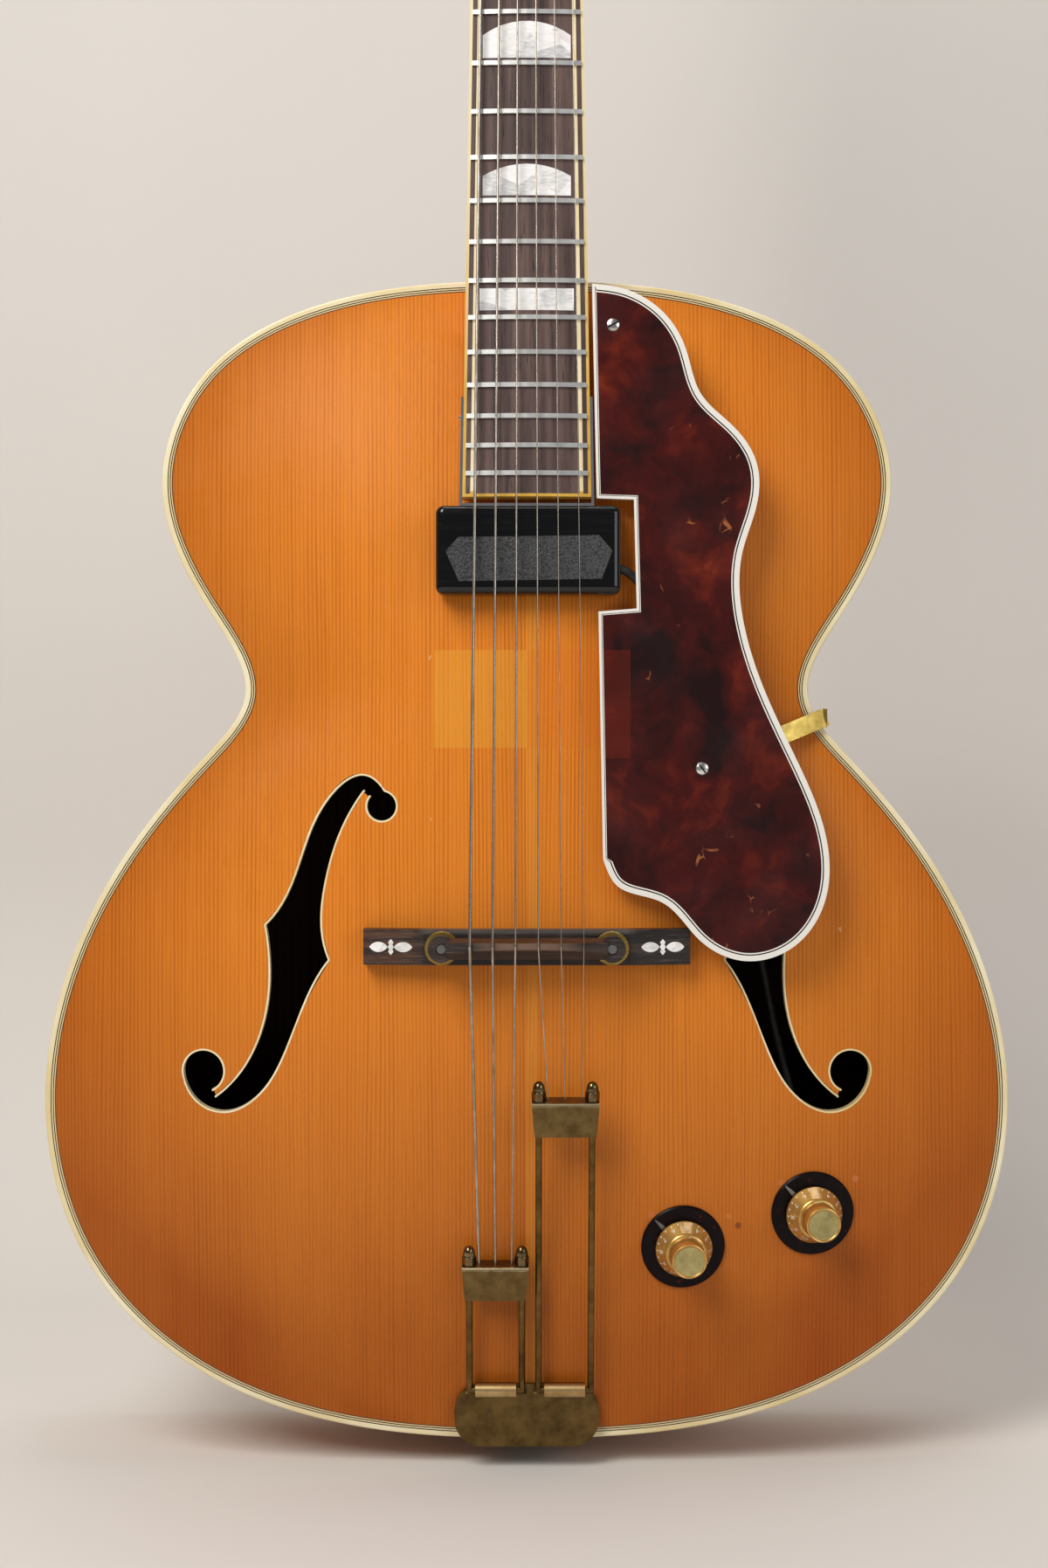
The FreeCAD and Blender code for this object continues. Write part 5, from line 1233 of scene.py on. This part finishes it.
# %% Turned shapes on a control's own axis
KNOB_FOOT = 2.7
CONTROLS = {
    "volume": ((126.4, -49.133, 101.9), (0.10911, -0.99156, -0.07000)),
    "tone": ((68.8, -53.208, 87.9), (0.06798, -0.99141, -0.11177)),
}
KNOB_STEPS = [(0, 0), (12.3, 0), (12.5, 0.3), (12.5, 1.6), (12.2, 2.0), (9.1, 6.9), (8.95, 7.1), (8.95, 8.2),
              (8.7, 8.5), (7.95, 8.8), (7.75, 9.1), (7.75, 17.9), (7.55, 18.3), (7.2, 18.5), (6.9, 18.4),
              (6.6, 18.1), (0, 18.1)]
DISC_STEPS = [(0, 18.12), (6.4, 18.12), (6.4, 18.3), (0, 18.34)]
CONE_LOW, CONE_HIGH = (12.2, KNOB_FOOT + 2.0), (9.1, KNOB_FOOT + 6.9)
NUMBER_SIZE = 3.4
NUMBER_FOOT = 2.0
NUMBER_ROUND = 10.6
TICK_TURN = 0.022
TICK_RUN = (0.1, 1.1)
FIRST_MARK = math.radians(-60)
NUMBER_STEP = math.radians(30)
POINTER = np.array([(-9.6, 8.2), (-8.2, 9.6), (-12.4, 12.8), (-12.8, 12.4)])
POINTER_DEPTHS = (1.5, 2.1)


def axis_place(base, normal):
    """From local (right, out, up) about an axis to the guitar's frame."""
    out = unit(np.array(normal))
    up = unit(np.array([0, 0, 1]) - out[2] * out)
    turn = np.stack([np.cross(up, out), out, up])
    return lambda points: np.array(base) + points @ turn


def lathe_mesh(name, profile, place, sides=96, ripple=None):
    """r(h) turned round the axis: (r cos a, h, r sin a); ripple(a, profile) scales r."""
    profile = np.array(profile, float)
    angle = full_turn(sides)
    radius = profile[:, :1] * np.ones(sides)
    if ripple is not None:
        radius = radius * ripple(angle, profile)
    height = profile[:, 1:] * np.ones(sides)
    points = np.stack([radius * np.cos(angle), height, radius * np.sin(angle)], -1)
    return grid_mesh(name, place(points), close_columns=True)


def on_cone(turn, slope):
    """A place on the knob's cone, a hair above it: slope runs from its foot to its top in millimetres."""
    rise = np.subtract(CONE_HIGH, CONE_LOW)
    share = slope / math.hypot(*rise)
    radius = CONE_LOW[0] + rise[0] * share + 0.05
    height = CONE_LOW[1] + rise[1] * share + 0.04
    return np.stack([radius * np.cos(turn), height, radius * np.sin(turn)], -1)


def number_mesh(word, centre, place):
    """A number wrapped round the cone, its foot towards the rim."""
    letters = bpy.data.curves.new("number", "FONT")
    letters.body = word
    letters.size = NUMBER_SIZE
    letters.align_x = "CENTER"
    holder = linked("number", letters)
    flat = settled(holder)
    bpy.data.objects.remove(holder)
    spots = points_of(flat)
    placed = place(on_cone(centre + spots[:, 0] / NUMBER_ROUND, NUMBER_FOOT + spots[:, 1]))
    flat.vertices.foreach_set("co", (placed * MM).reshape(-1).astype(np.float32))
    flat.update()
    return flat


def tick_mesh(centre, place):
    """One short radial mark at the foot of the cone."""
    turn, slope = np.meshgrid(centre + np.array([-TICK_TURN, TICK_TURN]), TICK_RUN)
    return grid_mesh("tick", place(on_cone(turn, slope)))


def on_foot(steps):
    """A knob's profile, set on its foot."""
    return [(radius, KNOB_FOOT + height) for radius, height in steps]


# %% Knobs with their marks
for name, (base, normal) in CONTROLS.items():
    place = axis_place(base, normal)
    knob = "knob_" + name
    shell = lathe_mesh(knob, on_foot(KNOB_STEPS), place)
    piece(knob + "_shell", shell, KNOB_GOLD, knob, [knob])
    disc = lathe_mesh("reflector", on_foot(DISC_STEPS), place)
    piece(knob + "_reflector", disc, REFLECTOR, knob, ())
    marks = [number_mesh(str(count), FIRST_MARK + NUMBER_STEP * count, place) for count in range(11)]
    marks += [tick_mesh(FIRST_MARK + NUMBER_STEP / 2 * count, place) for count in range(21)]
    piece(knob + "_numbers", joined("marks", marks), WHITE_MARK, knob, ())
    tip = prism_mesh("pointer", POINTER, *POINTER_DEPTHS, place)
    piece(name + "_pointer", tip, STEEL)
print("two knobs turned and numbered")

# %% [markdown]
# ## Bridge wheels and the tailpiece's small metal
# The thumbwheels have a knurled rim. The anchors are folded sheet: a thick rounded fold at the top and a
# face that gets narrower downwards. The acorn nuts are hexagonal at the foot and domed.

# %% Thumbwheels
WHEEL_SPOTS = {"thumbwheel_bass": -36.6, "thumbwheel_treble": 36.6}
WHEEL_Z = 221.0
WHEEL_BACK = -75.4
WHEEL_PROFILE = [(2.3, 0.0), (7.0, 0.0), (7.4, 0.35), (7.4, 2.4), (7.0, 2.75), (2.3, 2.75), (2.3, 0.0)]
WHEEL_SIDES = 200
RIM_FROM = 7.2
TEETH = 50
TOOTH_DEPTH = 0.022


def knurl(angle, profile):
    """Shallow teeth, only on the rim."""
    tooth = 1 - TOOTH_DEPTH * (0.5 + 0.5 * np.sign(np.sin(TEETH * angle)))
    return np.where(profile[:, :1] > RIM_FROM, tooth[None], 1.0)


for name, x in WHEEL_SPOTS.items():
    place = axis_place((x, WHEEL_BACK, WHEEL_Z), (0, -1, 0))
    wheel = lathe_mesh(name, WHEEL_PROFILE, place, WHEEL_SIDES, knurl)
    piece(name + "_knurled", wheel, WHEEL_BRASS, name, [name])
print("thumbwheels knurled")

# %% Folded anchors and acorn nuts
HINGE = np.array([0, -51.4, 24.0])
FORK_LEAN = math.radians(10.7207)
FORKS = {"bass": (-13.7, 59.03), "treble": (16.7, 133.84)}
FORK_STRINGS = {"bass": range(BASS_COUNT), "treble": range(BASS_COUNT, len(GAUGES))}
ROD_HALF = 11.5
ANCHOR_HALF = 14.5
ANCHOR_DEEP = 4.5
ANCHOR_TALL = 15.4
ANCHOR_TAPER = 0.09
ANCHOR_STATIONS = [-1, -1, -0.98, -0.5, 0, 0.5, 0.98, 1, 1]
SHEET_EDGE = -2.2
FOLD_ROUND = 1.6
BALL_HALF = 1.1
BALL_RADIUS = 1.3
ACORN_PROFILE = [(1.5, 0.0), (2.9, 0.0), (3.15, 0.25), (3.15, 3.6), (2.95, 4.0), (2.75, 4.3), (2.7, 5.0),
                 (2.45, 6.4), (1.9, 7.6), (1.1, 8.3), (0.0, 8.5)]
ACORN_FLATS = 3.9
ACORN_SIDES = 72


def fork_place(points):
    """From a fork's own frame, with its pin at the origin, to the guitar's."""
    return leaned(points, FORK_LEAN) + HINGE


def anchor_outline():
    """The bar's closed outline (y, z) about its upper edge, with a rounded fold at the front."""
    turn = np.linspace(0, np.pi / 2, 7)
    front = -ANCHOR_DEEP
    fold = [(front + FOLD_ROUND * (1 - math.sin(a)), FOLD_ROUND * (math.cos(a) - 1)) for a in turn]
    lower = [(front, -6.0), (front, -11.0), (front + 0.6, -ANCHOR_TALL), (front + 2.2, -ANCHOR_TALL),
             (front + 2.0, SHEET_EDGE)]
    return np.array([(ANCHOR_DEEP, SHEET_EDGE), (ANCHOR_DEEP, 0.0), (0.0, 0.0)] + fold + lower)


def anchor_mesh(centre, length):
    """The outline swept across X and narrowed downwards; UV v is the distance from the fold."""
    outline = anchor_outline()
    across = np.array(ANCHOR_STATIONS) * ANCHOR_HALF
    narrow = 1 + ANCHOR_TAPER * np.minimum(outline[:, 1] + FOLD_ROUND, 0) / ANCHOR_TALL
    x = centre + across[:, None] * narrow[None]
    points = np.stack(np.broadcast_arrays(x, outline[None, :, 0], outline[None, :, 1]), -1)
    for row in (0, -1):
        points[row] = (centre + across[row], -ANCHOR_DEEP + 1.0, -1.1)
    corner = np.array([-ANCHOR_DEEP + 0.3, -0.3])
    away = np.linalg.norm(outline - corner, axis=1)
    uv = np.stack(np.meshgrid(np.linspace(0, 1, len(across)), np.append(away, away[0]), indexing="ij"), -1)
    return grid_mesh("anchor", fork_place(points + (0, 0, length)), close_columns=True, uv=uv)


def hexagon(angle, profile):
    """Six flats below, round above."""
    sixth = np.mod(angle, np.pi / 3) - np.pi / 6
    flat = np.cos(np.pi / 6) / np.cos(sixth)
    return np.where(profile[:, 1:] < ACORN_FLATS, flat[None], 1.0)


def acorn_mesh(x, length):
    """A turned nut on a rod's end."""
    def place(points):
        return fork_place(points[..., [0, 2, 1]] + (x, 0, length))
    return lathe_mesh("acorn", ACORN_PROFILE, place, ACORN_SIDES, hexagon)


def ball_mesh(number):
    """The ball end of a string, in its anchor."""
    spot = string_spots(number)[0]
    path = spot + np.array([-BALL_HALF, 0, BALL_HALF])[:, None] * ALONG_X
    return tube_mesh(path, BALL_RADIUS, np.array([0, 1.0, 0]))


for side, (centre, length) in FORKS.items():
    body = "fork_" + side
    sheet = anchor_mesh(centre, length)
    piece(f"anchor_{side}_folded", sheet, ANCHOR_BRASS, body, ["anchor_" + side])
    nuts = [acorn_mesh(centre + end * ROD_HALF, length) for end in (-1, 1)]
    piece(f"acorns_{side}", joined("acorns", nuts), NUT_BRASS, body, ["anchor_nuts_" + side])
    balls = [ball_mesh(number) for number in FORK_STRINGS[side]]
    piece(f"ball_ends_{side}", joined("balls", balls), WHEEL_BRASS, body, ())
print("anchors, nuts and ball ends made")

# %% [markdown]
# ## Screws and small ornaments
# Slotted round heads hold the guard and the tailpiece's tab. The slot is a dark bar of painted shade just
# above the head.
# Small pearl fleurs lie between the leaves of the bridge, and a small screw holds the pickup's clamp.

# %% Screw heads
SCREW_DOME = [(0, -0.3), (2.9, -0.3), (2.9, 0.2), (2.55, 0.75), (1.6, 1.1), (0, 1.25)]
SLOT_BAR = np.array([(-2.5, -0.3), (2.5, -0.3), (2.5, 0.3), (-2.5, 0.3)])
SLOT_DEPTHS = (0.6, 1.27)
GUARD_SCREWS = [((37.5, 491.0), 0.5), ((75.9, 298.2), 2.2)]
GUARD_OUT = (0, -math.cos(GUARD_LEAN), -math.sin(GUARD_LEAN))
TAB_SCREWS = [((-11, -26, -1.8), 0.3), ((11, -26, -1.8), 1.1), ((0, -17, -1.8), 2.0)]
TAB_OUT = (0.0, -0.001, -1.0)


def screw_meshes(base, normal, slot_turn):
    """A domed head and its slot, as two meshes."""
    place = axis_place(base, normal)
    sine, cosine = math.sin(slot_turn), math.cos(slot_turn)
    bar = SLOT_BAR @ np.array([[cosine, sine], [-sine, cosine]])
    return lathe_mesh("head", SCREW_DOME, place, 48), prism_mesh("slot", bar, *SLOT_DEPTHS, place)


seats = [(guard_place(np.array(spot), -GUARD_WALL), GUARD_OUT, turn) for spot, turn in GUARD_SCREWS]
seats += [(spot, TAB_OUT, turn) for spot, turn in TAB_SCREWS]
heads, slots = zip(*[screw_meshes(*seat) for seat in seats])
piece("screw_heads", joined("heads", heads), NICKEL, "guitar", ["mounting_screws"])
# The slots are painted shade: dark bars on the heads stand in for the shadow in the cut.
piece("screw_slots", joined("slots", slots), SLOT_SHADE)
print(len(heads), "screws set")

# %% Pearl fleurs and the clamp's screw
PEARL_SPOT = np.array([58.9, -69.86, 221.0])
WING_FALL = 0.1537
FLEUR = np.array([(0, 3.5), (1.2, 2.0), (0.45, 0.7), (0.45, -0.7), (1.2, -2.0), (0, -3.5), (-1.2, -2.0),
                  (-0.45, -0.7), (-0.45, 0.7), (-1.2, 2.0)])
FLEUR_DEPTHS = (-0.12, 0.3)
CLAMP_DOME = [(0, -0.2), (1.5, -0.2), (1.5, 0.3), (1.1, 0.8), (0, 1.0)]
CLAMP_SEAT = axis_place((-28.65, -63.0, 451.0), (-1.0, 0.0, 0.001))


def fleur_mesh(side):
    """A fleur on a wing of the base, whose face comes forward towards the middle."""
    def on_wing(points):
        x, y, z = np.moveaxis(points, -1, 0)
        return (np.stack([x, WING_FALL * x + y, z], -1) + PEARL_SPOT) * (side, 1, 1)
    return prism_mesh("fleur", FLEUR, *FLEUR_DEPTHS, on_wing)


piece("pearl_fleurs", joined("fleurs", [fleur_mesh(side) for side in (-1, 1)]), PEARL)
clamp_head = lathe_mesh("clamp_head", CLAMP_DOME, CLAMP_SEAT, 32)
piece("clamp_screw_head", clamp_head, NICKEL)
print("pearl fleurs and the clamp's screw set")

# %% [markdown]
# ## Studio
# A pale floor that bends up into a backdrop, a soft key light from the upper left, a weaker one from the
# right, a rim light from above and an even sky. Metal and lacquer need something to reflect, and the soft
# lights give that.

# %% Floor, backdrop and lights
FLOOR_Z = -12.0
FLOOR_FRONT = -2600
BACKDROP_Y = 520.0
BACKDROP_TALL = 3200
BACKDROP_HALF = 3000
BEND = 260.0
SKY_COLOUR = (0.92, 0.95, 1.0, 1.0)
SKY_STRENGTH = 0.16


def backdrop_mesh():
    """Floor profile from the front, a quarter round, then straight up, swept along X."""
    turn = np.linspace(0, np.pi / 2, 16)
    y = np.concatenate([[FLOOR_FRONT], BACKDROP_Y - BEND + BEND * np.sin(turn), [BACKDROP_Y]])
    z = FLOOR_Z + np.concatenate([[0], BEND - BEND * np.cos(turn), [BACKDROP_TALL]])
    across = np.linspace(-BACKDROP_HALF, BACKDROP_HALF, 5)
    points = np.stack(np.broadcast_arrays(across, y[:, None], z[:, None]), -1)
    return grid_mesh("backdrop", points)


def make_paper():
    """Pale studio paper with a trace of unevenness, clear from its outer side."""
    n = Finish("studio_paper", Roughness=0.9, Specular_IOR_Level=0.1)
    outer = n.add("NewGeometry").outputs["Backfacing"]
    clear = n.add("BsdfTransparent").outputs[0]
    shown = n.add("MixShader", None, (outer, clear, n.tree.nodes["Principled BSDF"].outputs[0])).outputs[0]
    n.feed(n.tree.nodes["Material Output"].inputs, {"Surface": shown})
    return n.done(Base_Color=n.mix(n.noise(n.spot, 3.0, 2.0), rgb(226, 222, 216), rgb(218, 214, 208)))


def soft_light(name, spot, aim, size, power, colour):
    """A rectangular light that looks at a point; places in metres."""
    data = bpy.data.lights.new(name, "AREA")
    data.shape = "RECTANGLE"
    data.size, data.size_y = size
    data.energy = power
    data.color = colour
    item = linked(name, data)
    item.location = spot
    ahead = np.subtract(aim, spot)
    yaw = math.atan2(ahead[1], ahead[0])
    pitch = math.atan2(-ahead[2], math.hypot(ahead[0], ahead[1]))
    item.rotation_euler = (0, pitch - math.pi / 2, yaw)


paper = linked("studio_paper", backdrop_mesh())
paper.data.materials.append(make_paper())
soft_light("key_light", (-0.75, -1.2, 1.5), (0, 0, 0.4), (1.1, 0.8), 28, (1.0, 0.97, 0.93))
soft_light("fill_light", (1.7, -1.5, 0.9), (0, 0, 0.3), (1.0, 1.6), 11, (0.95, 0.97, 1.0))
soft_light("rim_light", (0.4, 0.1, 2.6), (0, 0.0, 0.5), (1.6, 0.8), 12, (1.0, 1.0, 1.0))
sky = bpy.data.worlds.new("studio_sky")
bpy.context.scene.world = sky
sky.use_nodes = True
sky.node_tree.nodes["Background"].inputs[0].default_value = SKY_COLOUR
sky.node_tree.nodes["Background"].inputs[1].default_value = SKY_STRENGTH
print("studio lit")
